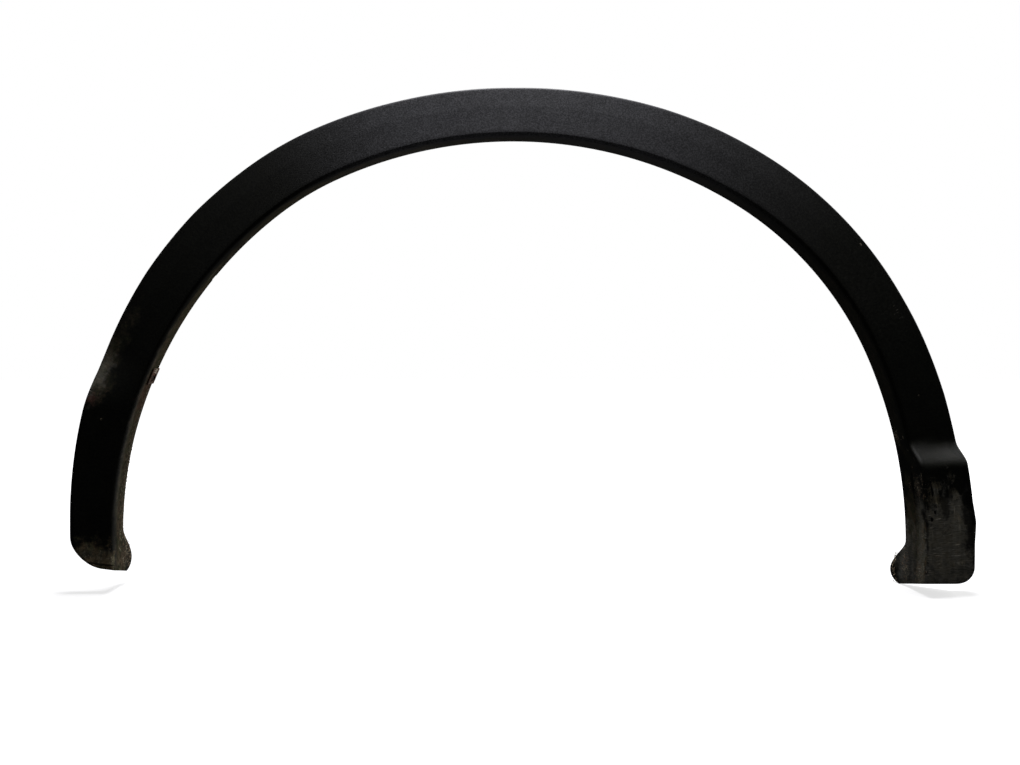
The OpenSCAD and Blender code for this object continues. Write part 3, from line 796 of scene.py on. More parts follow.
@dataclass
class SpringNut:
    """The folded sheet nut on the flange, with its pad, its collar and its bent lip."""

    section: Section
    share: float = 0.8537
    length: float = 24.0
    width: float = 17.0
    sheet: float = 1.0
    clearance: float = 0.3
    thread_radius: float = 2.1
    collar_radius: float = 3.7
    leg_hole_radius: float = 3.6
    pad_height: float = 1.4

    def strip(self) -> list[Point]:
        """Side outline of the folded strip, as (outwards, depth)."""
        half, near, far = self.sheet / 2, -self.clearance - self.sheet / 2, self.section.wall + self.clearance + self.sheet / 2
        fold = self.section.flange_edge(self.share * self.section.line.length) + self.clearance
        front, bend = fold - self.length, 0.9
        top = fold + half
        path = [(far, front + self.length * 0.1), (far, top - bend)]
        path += [(far - bend + bend * math.cos(a), top - bend + bend * math.sin(a)) for a in np.linspace(0.2, math.pi / 2, 6)]
        path += [(near + bend + bend * math.cos(a), top - bend + bend * math.sin(a)) for a in np.linspace(math.pi / 2, math.pi, 7)]
        path += [(near, front + 0.6), (near - 0.2, front - 0.1), (near - 0.7, front - 0.8), (near - 1.1, front - 1.3)]
        line = np.array(path)
        way = np.gradient(line, axis=0)
        way /= np.linalg.norm(way, axis=1)[:, None]
        side = np.stack([-way[:, 1], way[:, 0]], axis=1) * half
        return [tuple(p) for p in [*(line + side), *(line - side)[::-1]]]

    def ring(self, name: str, x0: float, radii: Sequence[Point], place: Matrix) -> bpy.types.Object:
        """A ring about the screw's line: its outline is given as (radius, distance from x0) and closed."""
        sides, m = 40, len(radii)
        verts, faces = [], []
        for k in range(sides):
            a = 2 * math.pi * k / sides
            verts += [place @ (Vector((x0 + d, r * math.cos(a), r * math.sin(a))) * MM) for r, d in radii]
            b = (k + 1) % sides
            faces += [[k * m + i, k * m + (i + 1) % m, b * m + (i + 1) % m, b * m + i] for i in range(m)]
        made = mesh_object(name, verts, faces)
        outward(made)
        return made

    def hole_place(self) -> Matrix:
        """Middle of the screw hole, on the wheel side of the flange."""
        line = self.section.line
        s = self.share * line.length
        depth = self.section.flange_edge(s) - self.length * 0.55
        return line.matrix(s) @ Matrix.Translation((0, depth * MM, 0))

    def spot(self, out: float, back: float, along: float) -> tuple[float, float, float]:
        """A point near the hole, for the darker patch and the painted highlight of its finish."""
        return tuple(self.hole_place() @ (Vector((out, back, along)) * MM))

    def build(self) -> bpy.types.Object:
        """The finished nut."""
        line = self.section.line
        place, hole = line.matrix(self.share * line.length), self.hole_place()
        prisms = Prisms()
        prisms.add(self.strip(), -self.width / 2, self.width / 2, lambda u, v, w: place @ (Vector((u, v, w)) * MM))
        made = prisms.build("spring_nut_sheet")
        near, far = -self.clearance - self.sheet, self.section.wall + self.clearance
        leg, thread = self.leg_hole_radius, self.thread_radius
        shift = lambda x: hole @ Matrix.Translation((x * MM, 0, 0))
        cut(made, [rod("cut_leg", leg, self.sheet * 3, shift(near)), rod("cut_thread", thread * 1.25, self.sheet * 3, shift(far))])
        bevel(made, 0.18, 2, 50)
        pad = [
            (leg, 0.6), (leg, -self.pad_height), (leg + 0.5, -self.pad_height - 0.25), (leg * 1.4, -self.pad_height),
            (leg * 1.62, -0.35), (leg * 1.8, 0.0), (leg * 1.8, 0.4),
        ]
        pad = [(r, d * 0.93) for r, d in pad]
        back, outer = far + self.sheet, self.collar_radius
        ridges = [(thread + 0.25 * (i % 2), d) for i, d in enumerate(np.linspace(back - 0.1, 0.2, 13))]
        collar = [
            (thread + 0.3, 0.0), (outer - 0.2, 0.0), (outer, 0.2), (outer, far + 0.4), (thread + 0.9, far + 0.4),
            (thread + 0.9, back + 0.05), (thread + 0.4, back + 0.05), *ridges,
        ]
        parts = [self.ring("pad", near + 0.05, pad, hole), self.ring("collar", 0.0, collar, hole)]
        with bpy.context.temp_override(active_object=made, selected_editable_objects=[made, *parts]):
            bpy.ops.object.join()
        smooth(made, 42)
        return made


class Graph:
    """Adds nodes to a shader tree and joins them."""

    def __init__(self, tree: bpy.types.NodeTree) -> None:
        """Works on the given tree."""
        self.tree = tree

    def put(self, socket: bpy.types.NodeSocket, value: Any) -> None:
        """Links a socket to another one, or sets its value."""
        if isinstance(value, bpy.types.NodeSocket):
            self.tree.links.new(value, socket)
        elif isinstance(value, (int, float)) and socket.type == "VECTOR":
            socket.default_value = (value,) * 3
        elif isinstance(value, tuple) and socket.type == "RGBA":
            socket.default_value = (*value, 1.0)[:4]
        else:
            socket.default_value = value

    def add(self, kind: str, inputs: dict[str | int, Any] | None = None, **settings: Any) -> bpy.types.Node:
        """Adds a node, with its settings and the values or links of its inputs."""
        node = self.tree.nodes.new("ShaderNode" + kind)
        for key, value in settings.items():
            setattr(node, key, value)
        for key, value in (inputs or {}).items():
            self.put(node.inputs[key], value)
        return node

    def math(self, operation: str, a: Any, b: Any = 0.0) -> bpy.types.NodeSocket:
        """A Math node on two values, kept between 0 and 1 where it adds or takes away."""
        clamp = operation in ("ADD", "SUBTRACT")
        return self.add("Math", {0: a, 1: b}, operation=operation, use_clamp=clamp).outputs[0]

    def ramp(self, value: Any, low: float, high: float, to_low: float = 0.0, to_high: float = 1.0) -> bpy.types.NodeSocket:
        """A smooth ramp of a value between two of its levels."""
        inputs = {0: value, 1: low, 2: high, 3: to_low, 4: to_high}
        return self.add("MapRange", inputs, interpolation_type="SMOOTHSTEP").outputs[0]

    def mix(self, share: Any, a: Any, b: Any) -> bpy.types.NodeSocket:
        """A mix of two colours."""
        return self.add("Mix", {0: share, 6: a, 7: b}, data_type="RGBA").outputs[2]

    def noise(self, vector: Any, scale: Any, detail: float = 3.0, rough: float = 0.55) -> bpy.types.NodeSocket:
        """Value of a noise texture."""
        inputs = {"Vector": vector, "Scale": scale, "Detail": detail, "Roughness": rough}
        return self.add("TexNoise", inputs).outputs[0]

    def scaled(self, vector: Any, scale: Sequence[float]) -> bpy.types.NodeSocket:
        """A vector with each part scaled by its own factor."""
        return self.add("Mapping", {"Vector": vector, "Scale": tuple(scale)}).outputs[0]

    def group(self, tree: bpy.types.NodeTree, **inputs: Any) -> bpy.types.Node:
        """Places a node group with its inputs, given with underscores for spaces."""
        node = self.tree.nodes.new("ShaderNodeGroup")
        node.node_tree = tree
        for key, value in inputs.items():
            self.put(node.inputs[key.replace("_", " ")], value)
        return node


class GroupMaker:
    """Builds the shader node groups that several finishes share."""

    @staticmethod
    def start(name: str, inputs: Sequence[tuple[str, str, Any]], outputs: Sequence[str]) -> tuple[Graph, dict[str, Any], Any]:
        """Makes an empty group.

        Args:
            name: Its name.
            inputs: Name, kind (Float or Vector) and usual value of each input.
            outputs: Names of its value outputs.

        Returns:
            A graph on the group, its input sockets by name, and its output node.
        """
        tree = bpy.data.node_groups.new(name, "ShaderNodeTree")
        for label, kind, value in inputs:
            made = tree.interface.new_socket(label, in_out="INPUT", socket_type="NodeSocket" + kind)
            if value is not None:
                made.default_value = value
        for label in outputs:
            tree.interface.new_socket(label, in_out="OUTPUT", socket_type="NodeSocketFloat")
        source, sink = tree.nodes.new("NodeGroupInput"), tree.nodes.new("NodeGroupOutput")
        return Graph(tree), {label: source.outputs[label] for label, _, _ in inputs}, sink

    def grain(self) -> bpy.types.NodeTree:
        """Moulded or rolled grain: fine pits and a slower mottle."""
        g, has, out = self.start("surface grain", [("Vector", "Vector", None), ("Scale", "Float", 900.0)], ["Height", "Tone"])
        cell = g.add("TexVoronoi", {"Vector": has["Vector"], "Scale": has["Scale"]}, feature="SMOOTH_F1").outputs["Distance"]
        fine = g.noise(has["Vector"], g.add("Math", {0: has["Scale"], 1: 2.3}, operation="MULTIPLY").outputs[0], 3.0, 0.6)
        slow = g.noise(has["Vector"], g.add("Math", {0: has["Scale"], 1: 0.12}, operation="MULTIPLY").outputs[0], 4.0, 0.6)
        height = g.add("Math", {0: cell, 1: 0.6, 2: fine}, operation="MULTIPLY_ADD").outputs[0]
        g.put(out.inputs["Height"], height)
        mid = g.noise(has["Vector"], g.add("Math", {0: has["Scale"], 1: 0.8}, operation="MULTIPLY").outputs[0], 2.0, 0.7)
        g.put(out.inputs["Tone"], g.math("MULTIPLY", g.ramp(mid, 0.3, 0.7), g.ramp(slow, 0.25, 0.75, 0.75, 1.0)))
        return g.tree

    def patch(self) -> bpy.types.NodeTree:
        """An oval patch with a ragged rim."""
        inputs = [("Place", "Vector", None), ("Centre", "Vector", None), ("Reach", "Vector", None), ("Ragged", "Float", 0.3),
                  ("Scale", "Float", 200.0), ("Core", "Float", 0.55)]
        g, has, out = self.start("ragged patch", inputs, ["Mask"])
        away = g.add("VectorMath", {0: has["Place"], 1: has["Centre"]}, operation="SUBTRACT").outputs[0]
        share = g.add("VectorMath", {0: away, 1: has["Reach"]}, operation="DIVIDE").outputs[0]
        length = g.add("VectorMath", {0: share}, operation="LENGTH").outputs["Value"]
        rag = g.ramp(g.noise(has["Place"], has["Scale"], 4.0, 0.65), 0.25, 0.75, -1.0, 1.0)
        bent = g.add("Math", {0: rag, 1: has["Ragged"], 2: length}, operation="MULTIPLY_ADD").outputs[0]
        g.put(out.inputs["Mask"], g.ramp(bent, 1.0, has["Core"]))
        return g.tree

    def streaks(self) -> bpy.types.NodeTree:
        """Fine scratches that run one way."""
        inputs = [("Place", "Vector", None), ("Along", "Float", 60.0), ("Across", "Float", 1200.0), ("Amount", "Float", 0.5)]
        g, has, out = self.start("fine streaks", inputs, ["Mask"])
        parts = g.add("SeparateXYZ", {0: has["Place"]}).outputs
        x = g.add("Math", {0: parts[0], 1: has["Along"]}, operation="MULTIPLY").outputs[0]
        y = g.add("Math", {0: parts[1], 1: has["Across"]}, operation="MULTIPLY").outputs[0]
        field_of = g.add("CombineXYZ", {0: x, 1: y, 2: parts[2]}).outputs[0]
        thin = g.noise(field_of, 1.0, 2.0, 0.5)
        gaps = g.noise(g.scaled(field_of, (1.7, 0.21, 1.0)), 1.0, 2.0, 0.5)
        level = g.math("MULTIPLY", g.ramp(thin, 0.56, 0.7), g.ramp(gaps, 0.42, 0.62))
        g.put(out.inputs["Mask"], g.math("MULTIPLY", level, has["Amount"]))
        return g.tree

    def dust(self) -> bpy.types.NodeTree:
        """A film of dust in soft clouds with fine specks."""
        g, has, out = self.start("dust film", [("Vector", "Vector", None), ("Amount", "Float", 0.3)], ["Mask"])
        cloud = g.ramp(g.noise(has["Vector"], 38.0, 5.0, 0.6), 0.32, 0.72)
        speck = g.ramp(g.noise(has["Vector"], 900.0, 2.0, 0.5), 0.6, 0.75)
        both = g.add("Math", {0: speck, 1: 0.5, 2: cloud}, operation="MULTIPLY_ADD").outputs[0]
        g.put(out.inputs["Mask"], g.math("MULTIPLY", both, has["Amount"]))
        return g.tree


class Groups:
    """The shared node groups, each built once."""

    def __init__(self) -> None:
        """Builds all groups."""
        maker = GroupMaker()
        self.grain, self.patch, self.streaks, self.dust = maker.grain(), maker.patch(), maker.streaks(), maker.dust()


class Wear(Enum):
    """Kinds of marks on the moulding."""

    DIRT = "dirt"
    SCUFF = "scuff"
    STREAK = "streak"
    SCRATCH = "scratch"
    RUST = "rust"
    MUD = "mud"
    # Gouges, and painted shade along the crest of the right foot
    GOUGE = "gouge"


@dataclass(frozen=True)
class Mark:
    """One mark on the outer skin: where it is, how far it reaches and how strong it is, in millimetres.

    The place is the distance along the line and the distance from the crest, outwards if above zero.
    """

    kind: Wear
    place: Point
    reach: Point
    strength: float = 1.0
    ragged: float = 0.4
    scale: float = 200.0
    core: float = 0.55


MARKS: tuple[Mark, ...] = (
    # The film on the flange grows from the right end over the crown to the left end
    Mark(Wear.DIRT, (250, -24), (170, 24), 0.16, 0.2, 60),
    Mark(Wear.DIRT, (700, -24), (420, 24), 0.16, 0.2, 60),
    Mark(Wear.DIRT, (840, -26), (290, 26), 0.42, 0.2, 60, 0.3),
    Mark(Wear.DIRT, (1195, -28), (262, 27), 0.55, 0.15, 60, 0.5),
    Mark(Wear.SCUFF, (1235, -9), (160, 10), 0.5, 0.2, 60, 0.2),
    Mark(Wear.RUST, (1178, -26), (36, 24), 0.55, 0.5, 120, 0.1),
    # Left step and left end
    Mark(Wear.DIRT, (1148, 42), (50, 15), 0.26, 0.5, 60, 0.0),
    Mark(Wear.SCUFF, (1168, 43), (32, 11), 0.5, 0.6, 110, 0.1),
    Mark(Wear.DIRT, (1180, 36), (16, 12), 0.3, 0.6, 100, 0.0),
    Mark(Wear.STREAK, (1162, 46), (32, 8), 0.4, 0.5, 110, 0.1),
    Mark(Wear.RUST, (1192, 42), (9, 10), 0.5, 0.6, 120, 0.0),
    Mark(Wear.DIRT, (1357, 16), (38, 46), 0.7, 0.5, 80, 0.3),
    Mark(Wear.GOUGE, (1348.5, 16), (1.8, 30), 0.85, 0.3, 120, 0.4),
    Mark(Wear.STREAK, (1342, 20), (14, 34), 0.65, 0.5, 120, 0.3),
    Mark(Wear.MUD, (1344, 12), (9, 30), 0.6, 0.9, 160),
    Mark(Wear.GOUGE, (1342, 30), (10, 16), 0.6, 0.9, 160, 0.1),
    Mark(Wear.MUD, (1262, -35), (100, 13), 0.9, 0.9, 200),
    Mark(Wear.MUD, (1336, -47), (15, 12), 0.8, 0.8, 260),
    Mark(Wear.MUD, (1208, 27), (1.6, 1.6), 0.5, 0.2),
    # Right end: scuffed foot under a black zone, streaks, gouges, spots and a painted shade line along the crest
    Mark(Wear.SCUFF, (24, 24), (76, 36), 1.0, 0.35, 60, 0.75),
    Mark(Wear.SCUFF, (40, -18), (66, 14), 1.0, 0.3, 60, 0.5),
    Mark(Wear.SCUFF, (24, -46), (44, 30), 0.7, 0.4, 80, 0.5),
    Mark(Wear.SCUFF, (4, 8), (10, 70), 0.7, 0.4, 120),
    Mark(Wear.SCUFF, (54, 66), (18, 5), 0.9, 0.4),
    Mark(Wear.SCUFF, (14, -60), (22, 18), 0.8, 0.4, 120, 0.2),
    Mark(Wear.SCRATCH, (30, 16), (60, 32), 0.8, 0.4, 90),
    Mark(Wear.SCRATCH, (98, -12), (15, 13), 1.0, 0.6),
    Mark(Wear.SCRATCH, (145, -28), (9, 9), 1.0, 0.6),
    Mark(Wear.SCRATCH, (48, -12), (14, 7), 0.9, 0.6),
    Mark(Wear.SCRATCH, (12, -20), (10, 16), 0.9, 0.6),
    Mark(Wear.STREAK, (62, 32), (42, 6), 1.0, 0.4, 120),
    Mark(Wear.STREAK, (92, 10), (16, 7), 0.9, 0.6, 160),
    Mark(Wear.STREAK, (44, 20), (50, 34), 0.7, 0.6, 90),
    Mark(Wear.STREAK, (40, -14), (40, 8), 0.7, 0.5, 120),
    Mark(Wear.DIRT, (60, -36), (56, 24), 0.45, 0.4, 60, 0.3),
    Mark(Wear.DIRT, (30, -18), (62, 18), 0.6, 0.3, 80, 0.4),
    Mark(Wear.MUD, (30, 9.5), (1.2, 5), 0.9, 0.3),
    Mark(Wear.MUD, (50, -13), (11, 5), 0.9, 0.8, 260),
    Mark(Wear.MUD, (12, -20), (9, 15), 0.8, 0.9, 260),
    Mark(Wear.MUD, (97, -16), (12, 9), 1.0, 0.7, 260),
    Mark(Wear.MUD, (90, -3), (4, 3), 1.0, 0.6, 260),
    Mark(Wear.MUD, (106, -4), (6, 3), 0.9, 0.7, 260),
    Mark(Wear.MUD, (146, -30), (8, 7), 1.0, 0.7, 260),
    Mark(Wear.MUD, (117, -23), (1.6, 2.2), 1.0, 0.3),
    Mark(Wear.MUD, (126, -9), (1.4, 1.2), 0.8, 0.3),
    Mark(Wear.MUD, (134, -13), (1.2, 1.8), 0.7, 0.3),
    Mark(Wear.MUD, (147, -11), (2.0, 1.6), 0.8, 0.3),
    Mark(Wear.MUD, (16, -57), (15, 6), 0.9, 0.9, 280),
    Mark(Wear.MUD, (331, 47), (2.0, 1.4), 0.5, 0.4),
    Mark(Wear.SCRATCH, (261, 39), (9, 4), 0.22, 0.8, 300),
    Mark(Wear.SCUFF, (285, 20), (60, 26), 0.05, 0.9, 260, 0.0),
    Mark(Wear.MUD, (183, 24), (1.2, 1.4), 0.3, 0.3),
    Mark(Wear.STREAK, (1035, -22), (8, 3), 0.9, 0.4, 160),
    # A near-black line along the crest of the right foot, with a dent: painted shade of the groove between crest and
    # face
    Mark(Wear.GOUGE, (50, -2), (42, 2.6), 0.7, 0.5, 120, 0.2),
    Mark(Wear.GOUGE, (95, 7), (9, 1.5), 1.0, 0.4),
    Mark(Wear.GOUGE, (73, 8), (2.6, 1.8), 1.0, 0.5),
    Mark(Wear.GOUGE, (67, 4), (2.6, 1.6), 1.0, 0.5),
    Mark(Wear.GOUGE, (92, -28), (18, 3), 0.9, 0.8, 160),
    Mark(Wear.GOUGE, (80, 21), (28, 8), 0.7, 0.7, 90, 0.2),
    Mark(Wear.GOUGE, (70, 47), (60, 9), 0.85, 0.4, 60, 0.4),
    Mark(Wear.GOUGE, (1262, -30), (100, 16), 0.5, 0.95, 260, 0.0),
)


class Finish:
    """Base of the finishes: makes the material and its shader."""

    def material(self, name: str) -> tuple[bpy.types.Material, Graph, bpy.types.Node]:
        """A new material with a Principled shader.

        Args:
            name: Its name.

        Returns:
            The material, a graph on its tree, and the shader.
        """
        made = bpy.data.materials.new(name)
        made.use_nodes = True
        made.node_tree.nodes.clear()
        g = Graph(made.node_tree)
        shader, out = g.add("BsdfPrincipled"), g.add("OutputMaterial")
        g.put(out.inputs["Surface"], shader.outputs[0])
        return made, g, shader


@dataclass(frozen=True)
class BlackPlastic(Finish):
    """Grained black plastic, lighter towards the top, with dust, scuffs, dirt and mud where the marks say.

    The lighter top is partly sun-fading and partly painted light from above. It starts and is full at angles round the
    origin, in radians, seen from the front.
    """

    groups: Groups
    black: Colour = (0.005, 0.0053, 0.0025)
    # Colour of the lighter top: partly sun-faded plastic, partly painted light from above
    faded_and_lit: Colour = (0.062, 0.062, 0.068)
    dusty: Colour = (0.15, 0.15, 0.155)
    settled: Colour = (0.17, 0.145, 0.105)
    wear_and_painted_light: tuple[tuple[Wear, Colour, Colour], ...] = (
        (Wear.DIRT, (0.14, 0.135, 0.055), (0.25, 0.18, 0.10)),
        (Wear.SCUFF, (0.22, 0.21, 0.175), (0.28, 0.27, 0.235)),
        (Wear.STREAK, (0.38, 0.36, 0.29), (0.34, 0.29, 0.18)),
        (Wear.SCRATCH, (0.70, 0.68, 0.60), (0.60, 0.55, 0.42)),
        (Wear.RUST, (0.10, 0.035, 0.025), (0.17, 0.08, 0.06)),
        (Wear.MUD, (0.52, 0.45, 0.33), (0.26, 0.19, 0.12)),
        # Near-black: gouges, and painted shade along the crest of the right foot
        (Wear.GOUGE, (0.002, 0.002, 0.002), (0.003, 0.003, 0.002)),
    )
    gloss: float = 0.25
    fade_and_light_right: Point = (0.66, 1.48)
    fade_and_light_left: Point = (2.2, 1.8)
    roughness: float = 0.48
    marked: bool = True

    def masks(self, g: Graph, skin: Any, place: Any) -> dict[Wear, Any]:
        """Mask of each kind of mark: the largest of its patches, broken up in its own way."""
        parts = g.add("SeparateXYZ", {0: skin}).outputs
        flat = g.add("CombineXYZ", {0: parts[0], 1: parts[1], 2: 0.0}).outputs[0]
        crossed = g.add("CombineXYZ", {0: parts[1], 1: parts[0], 2: 0.0}).outputs[0]
        outer = g.ramp(parts[2], 0.75, 0.45)
        found: dict[Wear, Any] = {}
        for mark in MARKS:
            centre, reach = Vector((*mark.place, 0)) * MM, Vector((*mark.reach, 1000)) * MM
            inputs = {"Centre": tuple(centre), "Reach": tuple(reach), "Ragged": mark.ragged, "Scale": mark.scale}
            node = g.group(self.groups.patch, Place=flat, Core=mark.core, **inputs)
            value = g.math("MULTIPLY", node.outputs[0], mark.strength)
            found[mark.kind] = g.math("MAXIMUM", found[mark.kind], value) if mark.kind in found else value
        across = g.group(self.groups.streaks, Place=crossed, Along=70.0, Across=650.0, Amount=0.9).outputs[0]
        along = g.group(self.groups.streaks, Place=flat, Along=40.0, Across=420.0, Amount=1.0).outputs[0]
        broken = g.ramp(g.noise(place, 420.0, 4.0, 0.7), 0.35, 0.65)
        spots = g.ramp(g.noise(place, 500.0, 3.0, 0.6), 0.5, 0.62)
        brushed = g.ramp(g.noise(g.scaled(crossed, (130.0, 760.0, 1.0)), 1.0, 4.0, 0.7), 0.36, 0.66, 0.25, 0.85)
        bands = g.ramp(g.noise(g.scaled(crossed, (120.0, 9.0, 1.0)), 1.0, 2.0, 0.5), 0.35, 0.65, 0.6, 1.0)
        breaks = {
            Wear.DIRT: g.ramp(broken, 0.0, 1.0, 0.45, 1.0),
            Wear.SCUFF: g.math("MULTIPLY", brushed, bands),
            Wear.STREAK: g.math("ADD", along, 0.25),
            Wear.SCRATCH: across,
            Wear.MUD: g.math("ADD", spots, 0.08),
        }
        return {kind: g.math("MULTIPLY", g.math("MULTIPLY", mask, outer), breaks.get(kind, 1.0)) for kind, mask in found.items()}

    def build(self, name: str) -> bpy.types.Material:
        """The finished material."""
        made, g, shader = self.material(name)
        place = g.add("TexCoord").outputs["Object"]
        grain = g.group(self.groups.grain, Vector=place, Scale=820.0)
        parts = g.add("SeparateXYZ", {0: place}).outputs
        # Lighter towards the top by angle: sun-fading and painted light from above
        angle = g.math("ARCTAN2", parts[2], parts[0])
        bright = g.math("MULTIPLY", g.ramp(angle, *self.fade_and_light_right), g.ramp(angle, *self.fade_and_light_left))
        blend_share = g.math("MULTIPLY", bright, g.ramp(g.noise(place, 14.0, 3.0), 0.2, 0.8, 0.85, 1.0))
        tone = g.ramp(grain.outputs["Tone"], 0.1, 0.9, 0.5, 1.6)
        base = g.mix(blend_share, self.black, self.faded_and_lit)
        colour = g.add("VectorMath", {0: base, 3: tone}, operation="SCALE").outputs[0]
        film = g.group(self.groups.dust, Vector=place, Amount=g.ramp(blend_share, 0.0, 1.0, 0.01, 0.1))
        colour = g.mix(film.outputs[0], colour, self.dusty)
        skin = g.add("Attribute", attribute_name="skin").outputs["Vector"] if self.marked else None
        hidden = g.ramp(g.add("SeparateXYZ", {0: skin}).outputs[2], 0.45, 0.75, 0.0, 0.5) if self.marked else 0.5
        cover = g.group(self.groups.dust, Vector=g.scaled(place, (0.7, 0.7, 0.7)), Amount=hidden)
        colour = g.mix(cover.outputs[0], colour, self.settled)
        rough: Any = g.add("Math", {0: blend_share, 1: -0.12, 2: self.roughness + 0.12}, operation="MULTIPLY_ADD").outputs[0]
        rough = g.add("Math", {0: grain.outputs["Tone"], 1: 0.1, 2: rough}, operation="MULTIPLY_ADD").outputs[0]
        relief: Any = grain.outputs["Height"]
        if self.marked:
            masks = self.masks(g, skin, place)
            change = g.ramp(g.noise(place, 130.0, 3.0), 0.4, 0.6)
            for kind, wear_and_painted_light, other in self.wear_and_painted_light:
                colour = g.mix(masks[kind], colour, g.mix(change, wear_and_painted_light, other))
                rough = g.math("ADD", rough, g.math("MULTIPLY", masks[kind], 0.4))
            relief = g.add("Math", {0: masks[Wear.MUD], 1: 1.5, 2: relief}, operation="MULTIPLY_ADD").outputs[0]
            relief = g.add("Math", {0: masks[Wear.GOUGE], 1: -2.0, 2: relief}, operation="MULTIPLY_ADD").outputs[0]
        bump = g.add("Bump", {"Height": relief, "Strength": 0.7, "Distance": 0.0002})
        g.put(shader.inputs["Base Color"], colour)
        g.put(shader.inputs["Roughness"], rough)
        g.put(shader.inputs["Normal"], bump.outputs[0])
        g.put(shader.inputs["Specular IOR Level"], self.gloss)
        return made


@dataclass(frozen=True)
class RustySteel(Finish):
    """Thin sheet steel with brown rust over it, darker round its hole with rusty crud and painted shade of the hole,
    and a painted highlight near its upper end.
    """

    groups: Groups
    hole: tuple[float, float, float]
    # Centre of the painted highlight near the nut's upper end
    wear_and_painted_light: tuple[float, float, float]
    steel: Colour = (0.62, 0.56, 0.48)
    # Colour of the painted highlight near the nut's upper end
    painted_highlight: Colour = (0.85, 0.75, 0.58)
    # Darker round the hole: rusty crud and painted shade of the hole
    crud_and_hole_shade: Colour = (0.02, 0.008, 0.006)
    rust: Colour = (0.15, 0.06, 0.035)
    pale_rust: Colour = (0.42, 0.25, 0.18)

    def build(self, name: str) -> bpy.types.Material:
        """The finished material."""
        made, g, shader = self.material(name)
        place = g.add("TexCoord").outputs["Object"]
        grain = g.group(self.groups.grain, Vector=place, Scale=1500.0)
        spread = g.noise(place, 260.0, 5.0, 0.65)
        rusted = g.ramp(spread, 0.36, 0.5)
        colour = g.mix(g.ramp(g.noise(place, 600.0, 4.0, 0.6), 0.4, 0.65), self.rust, self.pale_rust)
        colour = g.mix(rusted, self.steel, colour)
        reach = Vector((6.0, 6.0, 5.0)) * MM
        inputs = {"Place": place, "Ragged": 0.35, "Scale": 500.0}
        # Darker patch round the hole, rusty crud and painted shade, and a painted highlight near the upper end
        crud_and_hole_shade = g.group(self.groups.patch, Centre=self.hole, Reach=tuple(reach), **inputs).outputs[0]
        painted_highlight = g.group(self.groups.patch, Centre=self.wear_and_painted_light, Reach=tuple(reach * 0.8), **inputs).outputs[0]
        colour = g.mix(painted_highlight, g.mix(crud_and_hole_shade, colour, self.crud_and_hole_shade), self.painted_highlight)
        g.put(shader.inputs["Base Color"], colour)
        g.put(shader.inputs["Metallic"], g.ramp(rusted, 0.0, 1.0, 0.85, 0.1))
        g.put(shader.inputs["Roughness"], g.ramp(rusted, 0.0, 1.0, 0.38, 0.8))
        bump = g.add("Bump", {"Height": g.math("MULTIPLY", grain.outputs["Height"], rusted), "Strength": 0.5, "Distance": 0.0002})
        g.put(shader.inputs["Normal"], bump.outputs[0])
        return made


@dataclass(frozen=True)
class PaleNylon(Finish):
    """Off-white nylon of the push clips, a little yellowed and dusty."""

    groups: Groups
    pale: Colour = (0.62, 0.61, 0.56)
    yellowed: Colour = (0.52, 0.47, 0.36)
    dusty: Colour = (0.22, 0.19, 0.15)

    def build(self, name: str) -> bpy.types.Material:
        """The finished material."""
        made, g, shader = self.material(name)
        place = g.add("TexCoord").outputs["Object"]
        grain = g.group(self.groups.grain, Vector=place, Scale=1400.0)
        film = g.group(self.groups.dust, Vector=place, Amount=0.35)
        colour = g.mix(g.ramp(g.noise(place, 90.0, 3.0), 0.35, 0.7), self.pale, self.yellowed)
        g.put(shader.inputs["Base Color"], g.mix(film.outputs[0], colour, self.dusty))
        g.put(shader.inputs["Roughness"], g.ramp(grain.outputs["Tone"], 0.0, 1.0, 0.42, 0.6))
        bump = g.add("Bump", {"Height": grain.outputs["Height"], "Strength": 0.15, "Distance": 0.0001})
        g.put(shader.inputs["Normal"], bump.outputs[0])
        shader.inputs["Subsurface Weight"].default_value = 0.05
        return made


@dataclass(frozen=True)
class DriedMud(Finish):
    """Pale crumbly mud."""

    groups: Groups
    light: Colour = (0.42, 0.34, 0.23)
    dark: Colour = (0.12, 0.09, 0.055)

    def build(self, name: str) -> bpy.types.Material:
        """The finished material."""
        made, g, shader = self.material(name)
        place = g.add("TexCoord").outputs["Object"]
        grain = g.group(self.groups.grain, Vector=place, Scale=2200.0)
        g.put(shader.inputs["Base Color"], g.mix(g.ramp(g.noise(place, 320.0, 4.0), 0.35, 0.65), self.dark, self.light))
        g.put(shader.inputs["Roughness"], g.ramp(grain.outputs["Tone"], 0.0, 1.0, 0.85, 1.0))
        bump = g.add("Bump", {"Height": grain.outputs["Height"], "Strength": 0.6, "Distance": 0.0002})
        g.put(shader.inputs["Normal"], bump.outputs[0])
        return made


@dataclass(frozen=True)
class Lamp:
    """A soft square lamp: where it hangs, what it faces, its size and its strength."""

    name: str
    place: tuple[float, float, float]
    target: tuple[float, float, float]
    size: Point
    watts: float
    colour: Colour = (1.0, 1.0, 1.0)

    def hang(self) -> None:
        """Adds the lamp to the scene."""
        data = bpy.data.lights.new(self.name, "AREA")
        data.shape, data.size, data.size_y = "RECTANGLE", *self.size
        data.energy, data.color = self.watts, self.colour
        made = bpy.data.objects.new(self.name, data)
        way = Vector(self.target) - Vector(self.place)
        made.matrix_world = Matrix.Translation(self.place) @ way.to_track_quat("-Z", "Y").to_matrix().to_4x4()
        made.visible_camera = False
        bpy.context.scene.collection.objects.link(made)


